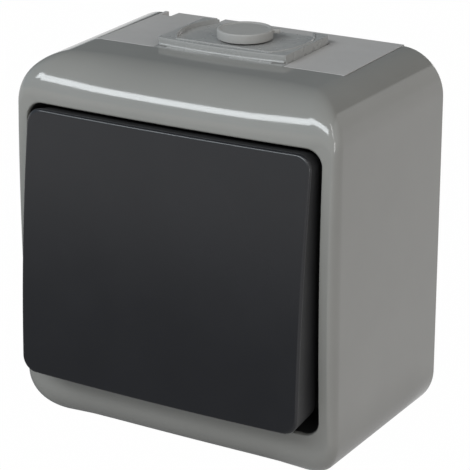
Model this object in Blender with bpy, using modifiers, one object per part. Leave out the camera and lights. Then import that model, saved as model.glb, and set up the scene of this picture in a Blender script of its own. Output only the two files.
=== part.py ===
"""Surface mounted light switch with a rocker, a hood, a back box and a see-saw contact inside.

X runs to the right as seen from the front, the front faces -Y, the wall is the plane y = 0 and Z is up.
The origin is at the centre of the back face. All sizes are in metres.
"""
import math

import bmesh
import bpy

MM = 0.001

# Overall size
WIDTH = 70.0 * MM
HEIGHT = 73.0 * MM
DEPTH = 41.4 * MM
CORNER_RADIUS = 10.0 * MM
BACK_CORNER_RADIUS = 8.7 * MM
CLEARANCE = 0.3 * MM

# Hood
HOOD_WALL = 2.0 * MM
HOOD_BACK_GAP = 0.5 * MM
SIDE_ROLL_DEPTH = 6.2 * MM
SIDE_ROLL_INSET = 3.5 * MM
TOP_ROLL_DEPTH = 9.2 * MM
TOP_ROLL_INSET = 7.4 * MM
FACE_CROWN = 0.75 * MM
LIP_SIDE = 4.1 * MM
LIP_TOP = 9.4 * MM
WINDOW_RISE = 0.7 * MM
WINDOW_RADIUS = 3.2 * MM
WELL_DRAFT = 0.9 * MM
WELL_WALL = 1.6 * MM
WELL_DEPTH = 9.4 * MM
FLOOR_THICKNESS = 1.8 * MM
LIP_THICKNESS = 3.0 * MM
CAVITY_SIDE_DROP = 7.4 * MM
CAVITY_LEAN = 2.3 * MM
WELL_LEAN = 0.4 * MM
WINDOW_EDGE = 0.4 * MM

# Rocker and its pivot
PIVOT_HEIGHT = 7.0 * MM
PIVOT_RISE = 0.8 * MM
ROCKER_GAP_SIDE = 1.1 * MM
ROCKER_GAP_TOP = 1.6 * MM
ROCKER_PROUD = 4.0 * MM
ROCKER_CROWN = 0.9 * MM
ROCKER_RADIUS = 2.4 * MM
ROCKER_EDGE = 0.9 * MM
ROCKER_WALL = 1.6 * MM
ROCKER_SKIRT = 8.0 * MM
ROCKER_DRAFT = 0.7 * MM
ROCKER_TILT_DEG = 5.3
RIB_DEPTH = 3.0 * MM
RIB_THICKNESS = 1.2 * MM
RIB_PLACE = 14.0 * MM

# Back box
BOX_PLATE = 2.2 * MM
BOX_WALL = 1.8 * MM
BOX_CLEARANCE = 0.4 * MM
BOX_RIM_DROP = 6.2 * MM
PANEL_MARGIN = 8.7 * MM
PANEL_DEPTH = 24.3 * MM
PANEL_THICKNESS = 2.2 * MM
PANEL_SHOULDER = 2.8 * MM
FIXING_SLOT_MARGIN_X = 8.1 * MM
FIXING_SLOT_MARGIN_Z = 12.1 * MM
FIXING_SLOT_WIDTH = 3.9 * MM
FIXING_SLOT_LENGTH = 8.0 * MM
KNOCKOUT_RADIUS = 8.0 * MM
KNOCKOUT_GROOVE = 0.8 * MM
KNOCKOUT_DEPTH = 1.3 * MM
KNOCKOUT_DROP = 13.0 * MM
NOTCH_DEPTH = 1.4 * MM
NOTCH_PLACES = (0.8 * MM, 12.0 * MM)
NOTCH_WIDTHS = (2.3 * MM, 1.8 * MM)
NOTCH_LENGTHS = (3.0 * MM, 2.4 * MM)

# Screws
COVER_PILLAR_GAP = 2.6 * MM
COVER_SCREW_RADIUS = 1.5 * MM
COVER_SCREW_LENGTH = 11.0 * MM
MECHANISM_PILLAR_GAP = 0.7 * MM
MECHANISM_SCREW_RADIUS = 1.3 * MM
MECHANISM_SCREW_LENGTH = 9.0 * MM
PILLAR_WALL = 1.8 * MM

# Cable entry
ENTRY_WIDTH = 27.2 * MM
ENTRY_LENGTH = 16.8 * MM
ENTRY_CAP_PLACE = 9.0 * MM
ENTRY_RISE = 1.6 * MM
ENTRY_SEAT = 0.6 * MM
ENTRY_NECK_WIDTH = 22.4 * MM
ENTRY_BOW = 1.0 * MM
FLANGE_THICKNESS = 1.3 * MM
DISH_RADIUS = 12.8 * MM
DISH_DEPTH = 0.7 * MM
DISH_RIM = 0.7 * MM
CAP_RADIUS = 5.3 * MM
CAP_HEIGHT = 1.8 * MM
CAP_STEM_RADIUS = 3.6 * MM
CAP_FLANGE_RADIUS = 5.0 * MM
CAP_FLANGE_THICKNESS = 1.4 * MM
CAP_EDGE = 0.3 * MM
NIB_LENGTH = 1.3 * MM
NIB_WIDTH = 1.0 * MM
MEMBRANE_SKIN = 1.0 * MM

# Mechanism
PLATE_THICKNESS = 2.0 * MM
PLATE_MARGIN = 3.0 * MM
GASKET_MARGIN = 0.8 * MM
LUG_WIDTH = 11.0 * MM
LUG_LENGTH = 4.2 * MM
LUG_THICKNESS = 1.4 * MM
GASKET_WIDTH = 2.4 * MM
GASKET_THICKNESS = 1.2 * MM
EAR_PLACE = 11.4 * MM
EAR_THICKNESS = 2.0 * MM
EAR_RADIUS = 2.8 * MM
PIN_RADIUS = 1.3 * MM
BODY_WIDTH = 32.0 * MM
ENTRY_ROOM = 13.9 * MM
BODY_FLOOR = 2.2 * MM
CHAMBER_WIDTH = 15.0 * MM
CHAMBER_ROOM = 1.0 * MM
CHAMBER_OVERLAP = 0.5 * MM
CRADLE_LENGTH = 19.0 * MM
CRADLE_THICKNESS = 3.2 * MM
CRADLE_FRONT = 2.4 * MM
LEG_PLACE = 7.0 * MM
LEG_WIDTH = 6.0 * MM
LEG_THICKNESS = 1.6 * MM
BARREL_RADIUS = 3.4 * MM
BARREL_LENGTH = 7.4 * MM
PLUNGER_RADIUS = 1.8 * MM
PLUNGER_STEM_RADIUS = 0.8 * MM
PLUNGER_COLLAR = 3.2 * MM
BORE_FRONT = 1.0 * MM
SPRING_WIRE = 0.5 * MM
SPRING_RADIUS = 1.45 * MM
SPRING_TURNS = 4.0

# Contacts and terminals
CONTACT_RATIO = 1.5
CONTACT_ROOM = 1.8 * MM
CONTACT_WIDTH = 5.6 * MM
CONTACT_END_GAP = 2.2 * MM
CONTACT_THICKNESS = 1.0 * MM
BUTTON_MARGIN = 1.5 * MM
BUTTON_RADIUS = 1.6 * MM
BUTTON_HEIGHT = 0.7 * MM
RIDGE_RADIUS = 0.8 * MM
FIXED_BUTTON_HEIGHT = 1.0 * MM
STRAP_THICKNESS = 1.0 * MM
STRAP_WIDTH = 5.0 * MM
TERMINAL_WALL = 1.2 * MM
COMMON_PLACE_X = 11.2 * MM
COMMON_WALL = 6.9 * MM
COMMON_STRAP_WIDTH = 3.2 * MM
BLOCK_LENGTH = 5.0 * MM
BLOCK_HEIGHT = 5.0 * MM
BLOCK_WIDTH = 6.4 * MM
TERMINAL_SCREW_RADIUS = 1.2 * MM
TERMINAL_SCREW_LENGTH = 3.2 * MM
WIRE_RADIUS = 1.3 * MM
WIRE_DROP = 3.2 * MM

TERMINAL_HEAD_RADIUS = 2.0 * MM
COVER_HEAD_RADIUS = 3.0 * MM
MECHANISM_HEAD_RADIUS = 2.4 * MM
HEAD_HEIGHT_SHARE = 0.6
NIB_ANGLE_DEG = 30.0

# Fineness of round shapes
CORNER_STEPS = 6
SIDE_STEPS = 4
ROLL_STEPS = 8
ROUND_STEPS = 24

# Places worked out from the sizes above
FLOOR_FRONT = DEPTH - WELL_DEPTH
FLOOR_BACK = FLOOR_FRONT - FLOOR_THICKNESS
BOX_RIM = FLOOR_BACK - BOX_RIM_DROP
PLATE_FRONT = FLOOR_BACK - GASKET_THICKNESS - 2 * CLEARANCE
PIVOT_DEPTH = PLATE_FRONT + PIVOT_HEIGHT
PIVOT = (0.0, -PIVOT_DEPTH, PIVOT_RISE)
TILT = math.radians(ROCKER_TILT_DEG)
ROCKER_REACH = DEPTH + ROCKER_PROUD - PIVOT_DEPTH
WINDOW_WIDTH = WIDTH - 2 * LIP_SIDE
WINDOW_HEIGHT = HEIGHT - 2 * LIP_TOP
ROCKER_WIDTH = WINDOW_WIDTH - 2 * ROCKER_GAP_SIDE
ROCKER_HEIGHT = WINDOW_HEIGHT - 2 * ROCKER_GAP_TOP
BOX_HALF_WIDTH = WIDTH / 2 - HOOD_WALL - BOX_CLEARANCE
BOX_HALF_HEIGHT = HEIGHT / 2 - HOOD_WALL - BOX_CLEARANCE
BODY_HEIGHT = 2 * (BOX_HALF_HEIGHT - BOX_WALL - ENTRY_ROOM)
PLATE_SIZE = BODY_WIDTH + 2 * PLATE_MARGIN
FLOOR_OPENING = PLATE_SIZE - 2 * (GASKET_WIDTH + GASKET_MARGIN + CLEARANCE)
PLATE_BACK = PLATE_FRONT - PLATE_THICKNESS
LUG_FRONT = PLATE_BACK + LUG_THICKNESS
SEAT_DEPTH = PLATE_BACK - CLEARANCE
CONTACT_FRONT = SEAT_DEPTH - CONTACT_ROOM
PLUNGER_REACH = PIVOT_DEPTH - CONTACT_FRONT - PLUNGER_RADIUS - CLEARANCE
CONTACT_BACK = CONTACT_FRONT - CONTACT_THICKNESS
CONTACT_AXIS = CONTACT_BACK - CLEARANCE - RIDGE_RADIUS
CONTACT_TILT = TILT * CONTACT_RATIO
TERMINAL_PLACE_Z = BODY_HEIGHT / 2 - TERMINAL_WALL - BLOCK_LENGTH / 2
CONTACT_LENGTH = 2 * (TERMINAL_PLACE_Z - TERMINAL_HEAD_RADIUS - CONTACT_END_GAP)
BUTTON_PLACE = CONTACT_LENGTH / 2 - BUTTON_MARGIN
CHAMBER_HEIGHT = CONTACT_LENGTH + 2 * CHAMBER_ROOM
COMMON_DROP = BODY_HEIGHT / 2 - COMMON_WALL - BLOCK_LENGTH / 2
BUTTON_SWING = BUTTON_PLACE * math.sin(CONTACT_TILT) + BUTTON_RADIUS * math.sin(CONTACT_TILT)
BUTTON_FACE = CONTACT_BACK - BUTTON_HEIGHT - CONTACT_AXIS
FIXED_FACE = CONTACT_AXIS + BUTTON_FACE * math.cos(CONTACT_TILT) - BUTTON_SWING - CLEARANCE
STRAP_FRONT = FIXED_FACE - FIXED_BUTTON_HEIGHT
STRAP_BACK = STRAP_FRONT - STRAP_THICKNESS
BLOCK_FRONT = STRAP_BACK - CLEARANCE
CHAMBER_FLOOR = BLOCK_FRONT
BAY_FLOOR = BLOCK_FRONT - BLOCK_HEIGHT - CLEARANCE
BODY_BACK = BAY_FLOOR - BODY_FLOOR
WIRE_DEPTH = BLOCK_FRONT - WIRE_DROP
COVER_PILLAR_RADIUS = COVER_SCREW_RADIUS + CLEARANCE + PILLAR_WALL
COVER_SCREW_PLACE = BOX_HALF_WIDTH - BOX_WALL - COVER_PILLAR_RADIUS - COVER_PILLAR_GAP
MECHANISM_PILLAR_RADIUS = MECHANISM_SCREW_RADIUS + CLEARANCE + PILLAR_WALL
MECHANISM_SCREW_PLACE = BODY_HEIGHT / 2 + MECHANISM_PILLAR_RADIUS + MECHANISM_PILLAR_GAP
ENTRY_FRONT = PANEL_DEPTH - ENTRY_BOW - CLEARANCE
ENTRY_BACK = ENTRY_FRONT - ENTRY_LENGTH
ENTRY_PLACE = ENTRY_FRONT - ENTRY_CAP_PLACE
PANEL_TOP = HEIGHT / 2
PANEL_HALF_WIDTH = WIDTH / 2 - PANEL_MARGIN
TERMINALS = {
    "upper": (0.0, PIVOT_RISE + TERMINAL_PLACE_Z),
    "lower": (0.0, PIVOT_RISE - TERMINAL_PLACE_Z),
    "common": (COMMON_PLACE_X, PIVOT_RISE - COMMON_DROP),
}

COLOURS = {
    "hood_grey": ((0.27, 0.28, 0.26, 1.0), 0.35, 0.0),
    "box_grey": ((0.30, 0.31, 0.30, 1.0), 0.45, 0.0),
    "soft_grey": ((0.25, 0.26, 0.26, 1.0), 0.7, 0.0),
    "graphite": ((0.030, 0.031, 0.035, 1.0), 0.4, 0.0),
    "black_rubber": ((0.015, 0.015, 0.015, 1.0), 0.8, 0.0),
    "cream_plastic": ((0.70, 0.67, 0.58, 1.0), 0.5, 0.0),
    "steel": ((0.55, 0.56, 0.58, 1.0), 0.3, 1.0),
    "brass": ((0.75, 0.55, 0.25, 1.0), 0.3, 1.0),
    "copper": ((0.80, 0.45, 0.30, 1.0), 0.3, 1.0),
}


def clear_scene():
    for obj in list(bpy.data.objects):
        bpy.data.objects.remove(obj, do_unlink=True)


def make_collection(name):
    collection = bpy.data.collections.new(name)
    bpy.context.scene.collection.children.link(collection)
    return collection


def material(name):
    found = bpy.data.materials.get(name)
    if found:
        return found
    colour, roughness, metallic = COLOURS[name]
    made = bpy.data.materials.new(name)
    made.use_nodes = True
    shader = made.node_tree.nodes["Principled BSDF"]
    shader.inputs["Base Color"].default_value = colour
    shader.inputs["Roughness"].default_value = roughness
    shader.inputs["Metallic"].default_value = metallic
    return made


def add_object(name, mesh, look=None):
    """Link a part under its material, or a cutter when it has none."""
    obj = bpy.data.objects.new(name, mesh)
    if look:
        PARTS.objects.link(obj)
        mesh.materials.append(material(look))
    else:
        CUTTERS.objects.link(obj)
        obj.hide_render = True
        obj.display_type = "WIRE"
    return obj


def block(name, x, y, z, look=None):
    """A box between pairs of limits."""
    bm = bmesh.new()
    bmesh.ops.create_cube(bm, size=1.0)
    for vert in bm.verts:
        for axis, (low, high) in enumerate((x, y, z)):
            vert.co[axis] = low if vert.co[axis] < 0 else high
    mesh = bpy.data.meshes.new(name)
    bm.to_mesh(mesh)
    bm.free()
    return add_object(name, mesh, look)


def centred(middle, size):
    return (middle - size / 2, middle + size / 2)


def cylinder(name, radius, start, end, look=None, steps=ROUND_STEPS):
    """A round bar between two points on a line along one axis."""
    bm = bmesh.new()
    length = math.dist(start, end)
    bmesh.ops.create_cone(
        bm, cap_ends=True, segments=steps, radius1=radius, radius2=radius, depth=length
    )
    mesh = bpy.data.meshes.new(name)
    bm.to_mesh(mesh)
    bm.free()
    obj = add_object(name, mesh, look)
    obj.location = [(a + b) / 2 for a, b in zip(start, end)]
    run = [abs(a - b) for a, b in zip(start, end)]
    if run[0] == max(run):
        obj.rotation_euler[1] = math.pi / 2
    elif run[1] == max(run):
        obj.rotation_euler[0] = math.pi / 2
    return obj


def turned(name, profile, location, facing_front, look=None, steps=ROUND_STEPS, closed=False):
    """A turned piece: the profile lists (radius, height) from the top down the outer side."""
    mesh = bpy.data.meshes.new(name)
    points = [(radius, 0.0, height) for radius, height in profile]
    edges = [(i, i + 1) for i in range(len(points) - 1)]
    if closed:
        edges.append((len(points) - 1, 0))
    mesh.from_pydata(points, edges, [])
    obj = add_object(name, mesh, look)
    obj.location = location
    if facing_front:
        obj.rotation_euler[0] = math.pi / 2
    turn = obj.modifiers.new("turn", "SCREW")
    turn.steps = steps
    turn.render_steps = steps
    turn.use_merge_vertices = True
    turn.merge_threshold = 0.00001
    return obj


def boolean(target, tool, operation):
    change = target.modifiers.new(tool.name, "BOOLEAN")
    change.operation = operation
    change.solver = "EXACT"
    change.object = tool
    return target


def cut(target, *tools):
    for tool in tools:
        boolean(target, tool, "DIFFERENCE")


def join(target, *tools):
    for tool in tools:
        boolean(target, tool, "UNION")


def rounded_outline(half_width, half_height, radius):
    """Points of a rectangle with round corners, the same number for every size."""
    corners = ((1, 1, 0), (-1, 1, 90), (-1, -1, 180), (1, -1, 270))
    points = []
    for sign_x, sign_z, start in corners:
        centre_x = sign_x * (half_width - radius)
        centre_z = sign_z * (half_height - radius)
        for step in range(CORNER_STEPS + 1):
            angle = math.radians(start + 90 * step / CORNER_STEPS)
            points.append((centre_x + radius * math.cos(angle), centre_z + radius * math.sin(angle)))
    filled = []
    for index, (x, z) in enumerate(points):
        filled.append((x, z))
        if index % (CORNER_STEPS + 1) == CORNER_STEPS:
            next_x, next_z = points[(index + 1) % len(points)]
            for step in range(1, SIDE_STEPS):
                share = step / SIDE_STEPS
                filled.append((x + (next_x - x) * share, z + (next_z - z) * share))
    return filled


def top_share(x, z, half_width, half_height):
    """How much a point of an outline belongs to the top or bottom side, from 0 to 1."""
    upright = (abs(z) / half_height) ** 8
    sideways = (abs(x) / half_width) ** 8
    return upright / (upright + sideways)


def ring(half_width, half_height, radius, side_depth, top_depth=None, rise=0.0, crown=0.0):
    """One closed section of a loft, at a depth that may differ between the sides and the top."""
    if top_depth is None:
        top_depth = side_depth
    points = []
    for x, z in rounded_outline(half_width, half_height, radius):
        share = top_share(x, z, half_width, half_height)
        depth = side_depth + (top_depth - side_depth) * share
        depth += crown * (dome(x, z + rise))
        points.append((x, -depth, z + rise))
    return points


def dome(x, z):
    """Height of the hood's crowned face over its window corners, for a crown of one metre."""
    return 2.0 - (x / (WINDOW_WIDTH / 2)) ** 2 - (z / (WINDOW_HEIGHT / 2)) ** 2


def loft(name, rings, look=None, around=False):
    """A solid through sections with the same number of points, capped or closed on itself."""
    bm = bmesh.new()
    loops = [[bm.verts.new(point) for point in section] for section in rings]
    pairs = list(zip(loops, loops[1:]))
    if around:
        pairs.append((loops[-1], loops[0]))
    for first, second in pairs:
        for index in range(len(first)):
            after = (index + 1) % len(first)
            bm.faces.new((first[index], first[after], second[after], second[index]))
    if not around:
        bm.faces.new(loops[0])
        bm.faces.new(loops[-1])
    bmesh.ops.recalc_face_normals(bm, faces=bm.faces)
    mesh = bpy.data.meshes.new(name)
    bm.to_mesh(mesh)
    bm.free()
    mesh.shade_smooth()
    mesh.set_sharp_from_angle(angle=math.radians(35))
    return add_object(name, mesh, look)


def prism(name, half_width, half_height, radius, back, front, look=None, rise=0.0):
    """A rounded plate between two depths."""
    rings = [ring(half_width, half_height, radius, depth, rise=rise) for depth in (back, front)]
    return loft(name, rings, look)


def hood_outer_rings():
    half_width = WIDTH / 2
    half_height = HEIGHT / 2
    rings = [ring(half_width, half_height, BACK_CORNER_RADIUS, HOOD_BACK_GAP)]
    for step in range(ROLL_STEPS + 1):
        angle = math.radians(90 * step / ROLL_STEPS)
        side_inset = SIDE_ROLL_INSET * (1 - math.cos(angle))
        top_inset = TOP_ROLL_INSET * (1 - math.cos(angle))
        rings.append(
            ring(
                half_width - side_inset,
                half_height - top_inset,
                CORNER_RADIUS - (side_inset + top_inset) / 2,
                DEPTH - SIDE_ROLL_DEPTH * (1 - math.sin(angle)),
                DEPTH - TOP_ROLL_DEPTH * (1 - math.sin(angle)),
                crown=FACE_CROWN * math.sin(angle),
            )
        )
    return rings


def hood_window_rings():
    """From the front edge of the window down the well to the floor and its opening."""
    half_width = WINDOW_WIDTH / 2
    half_height = WINDOW_HEIGHT / 2
    edge = WINDOW_EDGE
    lip = {"radius": WINDOW_RADIUS, "rise": WINDOW_RISE, "crown": FACE_CROWN}
    rings = [
        ring(half_width + edge / 2, half_height + edge, side_depth=DEPTH, **lip),
        ring(half_width, half_height, side_depth=DEPTH - edge, **lip),
        ring(half_width - WELL_DRAFT, half_height - WELL_DRAFT, WINDOW_RADIUS, FLOOR_FRONT, rise=WINDOW_RISE),
    ]
    half_opening = FLOOR_OPENING / 2
    for depth in (FLOOR_FRONT, FLOOR_BACK):
        rings.append(ring(half_opening, half_opening, WINDOW_RADIUS, depth, rise=PIVOT_RISE))
    return rings


def hood_inner_rings():
    """From behind the floor round the cavity between the well and the outer wall, to the back."""
    well_half_width = WINDOW_WIDTH / 2 - WELL_DRAFT + WELL_WALL
    well_half_height = WINDOW_HEIGHT / 2 - WELL_DRAFT + WELL_WALL
    inner_half_width = WIDTH / 2 - HOOD_WALL
    inner_half_height = HEIGHT / 2 - HOOD_WALL
    well_radius = WINDOW_RADIUS + WELL_WALL
    inner_radius = CORNER_RADIUS - HOOD_WALL
    end = (DEPTH - CAVITY_SIDE_DROP, DEPTH - LIP_THICKNESS)
    roll_start = DEPTH - TOP_ROLL_DEPTH - CLEARANCE
    well_end = (well_half_width + WELL_LEAN, well_half_height + WELL_LEAN)
    return [
        ring(well_half_width, well_half_height, well_radius, FLOOR_BACK, rise=WINDOW_RISE),
        ring(*well_end, well_radius, *end, rise=WINDOW_RISE),
        ring(inner_half_width, inner_half_height - CAVITY_LEAN, inner_radius, *end),
        ring(inner_half_width, inner_half_height, inner_radius, roll_start),
        ring(inner_half_width, inner_half_height, inner_radius, HOOD_BACK_GAP),
    ]


def make_hood():
    rings = hood_outer_rings() + hood_window_rings() + hood_inner_rings()
    hood = loft("hood", rings, "hood_grey", around=True)
    slot_half_width = PANEL_HALF_WIDTH + CLEARANCE
    slot = block(
        "hood_slot_cutter",
        (-slot_half_width, slot_half_width),
        (-PANEL_DEPTH - CLEARANCE, HOOD_WALL),
        (HEIGHT / 2 - 2 * HOOD_WALL, HEIGHT / 2 + HOOD_WALL),
    )
    cut(hood, slot)
    for side in (-1, 1):
        hole = cylinder(
            "hood_hole_cutter",
            COVER_SCREW_RADIUS + CLEARANCE,
            (side * COVER_SCREW_PLACE, -FLOOR_BACK + HOOD_WALL, PIVOT_RISE),
            (side * COVER_SCREW_PLACE, -FLOOR_FRONT - HOOD_WALL, PIVOT_RISE),
        )
        cut(hood, hole)
    return hood


def rocker_face_ring(share, drop):
    """A section of the rocker's crowned face, shrunk to a share of its size."""
    half_width = ROCKER_WIDTH / 2 - ROCKER_EDGE
    half_height = ROCKER_HEIGHT / 2 - ROCKER_EDGE
    points = []
    for x, z in rounded_outline(half_width * share, half_height * share, ROCKER_RADIUS * share):
        crown = 2.0 - (x / (ROCKER_WIDTH / 2)) ** 2 - (z / (ROCKER_HEIGHT / 2)) ** 2
        points.append((x, -(ROCKER_REACH - drop + ROCKER_CROWN * crown), z))
    return points


def rocker_side_ring(inset, depth, crown):
    """A section round the rocker's skirt."""
    half_width = ROCKER_WIDTH / 2 - inset
    half_height = ROCKER_HEIGHT / 2 - inset
    points = []
    for x, z in rounded_outline(half_width, half_height, ROCKER_RADIUS):
        bulge = 2.0 - (x / (ROCKER_WIDTH / 2)) ** 2 - (z / (ROCKER_HEIGHT / 2)) ** 2
        points.append((x, -(depth + crown * bulge), z))
    return points


def make_rocker():
    rim = ROCKER_REACH - ROCKER_SKIRT
    rings = [rocker_face_ring(share, ROCKER_WALL) for share in (0.25, 0.6, 0.94)]
    rings.append(rocker_side_ring(ROCKER_WALL + ROCKER_DRAFT, rim, 0.0))
    rings.append(rocker_side_ring(ROCKER_DRAFT, rim, 0.0))
    for step in range(4):
        angle = math.radians(90 * step / 4)
        inset = ROCKER_EDGE * (1 - math.cos(angle))
        depth = ROCKER_REACH - ROCKER_EDGE * (1 - math.sin(angle))
        rings.append(rocker_side_ring(inset, depth, ROCKER_CROWN))
    rings += [rocker_face_ring(share, 0.0) for share in (1.0, 0.7, 0.3)]
    rocker = on_pivot(loft("rocker", rings, "graphite"), "rocker_pivot")
    root = -(ROCKER_REACH + ROCKER_CROWN / 2)
    rib_end = -(ROCKER_REACH - ROCKER_WALL - RIB_DEPTH)
    rib_length = ROCKER_HEIGHT - 2 * ROCKER_WALL
    for side in (-1, 1):
        leg_limits = (root, CRADLE_THICKNESS - CRADLE_FRONT)
        leg_place = centred(side * LEG_PLACE, LEG_THICKNESS)
        leg = block("rocker_leg_tool", centred(0.0, LEG_WIDTH), leg_limits, leg_place)
        rib_place = centred(side * RIB_PLACE, RIB_THICKNESS)
        rib = block("rocker_rib_tool", rib_place, (root, rib_end), centred(0.0, rib_length))
        join(rocker, on_pivot(leg, "rocker_pivot"), on_pivot(rib, "rocker_pivot"))
    return rocker


def make_pivots():
    """Empties on the two axes, turned to the state with the rocker pressed in at the top."""
    places = {
        "rocker_pivot": (PIVOT_DEPTH, -TILT),
        "contact_pivot": (CONTACT_AXIS, CONTACT_TILT),
    }
    for name, (depth, angle) in places.items():
        empty = bpy.data.objects.new(name, None)
        PARTS.objects.link(empty)
        empty.location = (0.0, -depth, PIVOT_RISE)
        empty.rotation_euler[0] = angle


def on_pivot(obj, pivot):
    """Hang a piece that is modelled about its axis from that axis."""
    obj.parent = bpy.data.objects[pivot]
    return obj


def make_cradle():
    half_width = EAR_PLACE - EAR_THICKNESS / 2 - CLEARANCE
    back = CRADLE_THICKNESS - CRADLE_FRONT
    cradle = block("cradle", (-half_width, half_width), (-CRADLE_FRONT, back), centred(0.0, CRADLE_LENGTH), "cream_plastic")
    pin_end = EAR_PLACE + EAR_THICKNESS / 2 - CLEARANCE
    pins = cylinder("cradle_pin_tool", PIN_RADIUS, (-pin_end, 0, 0), (pin_end, 0, 0))
    barrel = cylinder("cradle_barrel_tool", BARREL_RADIUS, (0, -BORE_FRONT, 0), (0, BARREL_LENGTH, 0))
    bore_radius = PLUNGER_RADIUS + CLEARANCE
    bore = cylinder("cradle_bore_cutter", bore_radius, (0, -BORE_FRONT, 0), (0, BARREL_LENGTH + back, 0))
    join(cradle, pins, barrel)
    cut(cradle, bore)
    tools = [cradle, pins, barrel, bore]
    for side in (-1, 1):
        socket = block(
            "cradle_socket_cutter",
            centred(0.0, LEG_WIDTH + 2 * CLEARANCE),
            (-CRADLE_THICKNESS, CRADLE_THICKNESS),
            centred(side * LEG_PLACE, LEG_THICKNESS + 2 * CLEARANCE),
        )
        cut(cradle, socket)
        tools.append(socket)
    for tool in tools:
        on_pivot(tool, "rocker_pivot")


def make_plunger():
    """Stem inside the spring, collar and round tip, pointing away from the rocker."""
    stem_start = -2 * CLEARANCE
    profile = [
        (0.0, stem_start),
        (PLUNGER_STEM_RADIUS, stem_start),
        (PLUNGER_STEM_RADIUS, -PLUNGER_COLLAR),
        (PLUNGER_RADIUS, -PLUNGER_COLLAR),
    ]
    tip_steps = 5
    for step in range(tip_steps + 1):
        angle = math.radians(90 * step / tip_steps)
        radius = PLUNGER_RADIUS * math.cos(angle) if step < tip_steps else 0.0
        profile.append((radius, -PLUNGER_REACH - PLUNGER_RADIUS * math.sin(angle)))
    plunger = turned("plunger", profile, (0, 0, 0), True, "cream_plastic", steps=16)
    on_pivot(plunger, "rocker_pivot")


def make_spring():
    start = -BORE_FRONT + CLEARANCE + SPRING_WIRE / 2
    end = PLUNGER_COLLAR - CLEARANCE - SPRING_WIRE / 2
    curve = bpy.data.curves.new("contact_spring", "CURVE")
    curve.dimensions = "3D"
    curve.bevel_depth = SPRING_WIRE / 2
    curve.bevel_resolution = 2
    curve.use_fill_caps = True
    curve.materials.append(material("steel"))
    steps_per_turn = 10
    count = int(SPRING_TURNS * steps_per_turn) + 1
    spline = curve.splines.new("POLY")
    spline.points.add(count - 1)
    for index, point in enumerate(spline.points):
        angle = 2 * math.pi * index / steps_per_turn
        y = start + (end - start) * index / (count - 1)
        point.co = (SPRING_RADIUS * math.cos(angle), y, SPRING_RADIUS * math.sin(angle), 1.0)
    spring = bpy.data.objects.new("contact_spring", curve)
    PARTS.objects.link(spring)
    on_pivot(spring, "rocker_pivot")


def make_moving_contact():
    """See-saw blade with a contact button behind each end, about its own axis."""
    front = -(CONTACT_FRONT - CONTACT_AXIS)
    back = -(CONTACT_BACK - CONTACT_AXIS)
    blade = block(
        "moving_contact", centred(0.0, CONTACT_WIDTH), (front, back), centred(0.0, CONTACT_LENGTH), "copper"
    )
    on_pivot(blade, "contact_pivot")
    root = (front + back) / 2
    for side in (-1, 1):
        z = side * BUTTON_PLACE
        button = cylinder("moving_button_tool", BUTTON_RADIUS, (0, root, z), (0, back + BUTTON_HEIGHT, z))
        join(blade, on_pivot(button, "contact_pivot"))


def make_box_shell():
    """Back plate and perimeter wall in one cup, open to the front."""
    radius = CORNER_RADIUS - HOOD_WALL - BOX_CLEARANCE
    inner = (BOX_HALF_WIDTH - BOX_WALL, BOX_HALF_HEIGHT - BOX_WALL, radius - BOX_WALL)
    outer = (BOX_HALF_WIDTH, BOX_HALF_HEIGHT, radius)
    rings = [ring(*outer, 0.0), ring(*outer, BOX_RIM), ring(*inner, BOX_RIM), ring(*inner, BOX_PLATE)]
    return loft("back_box", rings, "box_grey")


def add_panel(box):
    """Top panel that lies flush in the hood's cut-out, cored from below, open for the entry plate."""
    wall_middle = BOX_HALF_HEIGHT - BOX_WALL / 2
    panel = block(
        "panel_tool", (-PANEL_HALF_WIDTH, PANEL_HALF_WIDTH), (-PANEL_DEPTH, 0.0), (wall_middle, PANEL_TOP)
    )
    join(box, panel)
    core_half_width = PANEL_HALF_WIDTH - PANEL_SHOULDER
    below = BOX_HALF_HEIGHT - 2 * BOX_WALL
    front = -PANEL_DEPTH - BOX_WALL
    core = block(
        "panel_core_cutter",
        (-core_half_width, core_half_width),
        (front, -BOX_PLATE - CLEARANCE),
        (below, PANEL_TOP - PANEL_THICKNESS),
    )
    slot_half_width = ENTRY_NECK_WIDTH / 2 + CLEARANCE
    slot = block(
        "panel_slot_cutter",
        (-slot_half_width, slot_half_width),
        (front, -ENTRY_BACK - ENTRY_SEAT),
        (below, PANEL_TOP + BOX_WALL),
    )
    seat_half_width = ENTRY_WIDTH / 2 + CLEARANCE
    seat = block(
        "panel_seat_cutter",
        (-seat_half_width, seat_half_width),
        (front, -ENTRY_BACK + CLEARANCE),
        (PANEL_TOP - ENTRY_SEAT, PANEL_TOP + BOX_WALL),
    )
    cut(box, core, slot, seat)
    for place, width, length in zip(NOTCH_PLACES, NOTCH_WIDTHS, NOTCH_LENGTHS):
        low = place - PANEL_HALF_WIDTH
        upright = (PANEL_TOP - NOTCH_DEPTH, PANEL_TOP + BOX_WALL)
        notch = block("panel_notch_cutter", (low, low + width), (-length, BOX_WALL), upright)
        cut(box, notch)


def add_pillar(box, x, z, radius, screw_end, top):
    """A hollow pillar from the back plate to its seat, with a blind hole for its screw."""
    outer = cylinder("pillar_tool", radius, (x, -BOX_PLATE / 2, z), (x, -top, z))
    hole = cylinder("pillar_hole_cutter", radius - PILLAR_WALL, (x, -screw_end, z), (x, -top - BOX_WALL, z))
    join(box, outer)
    cut(box, hole)


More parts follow.
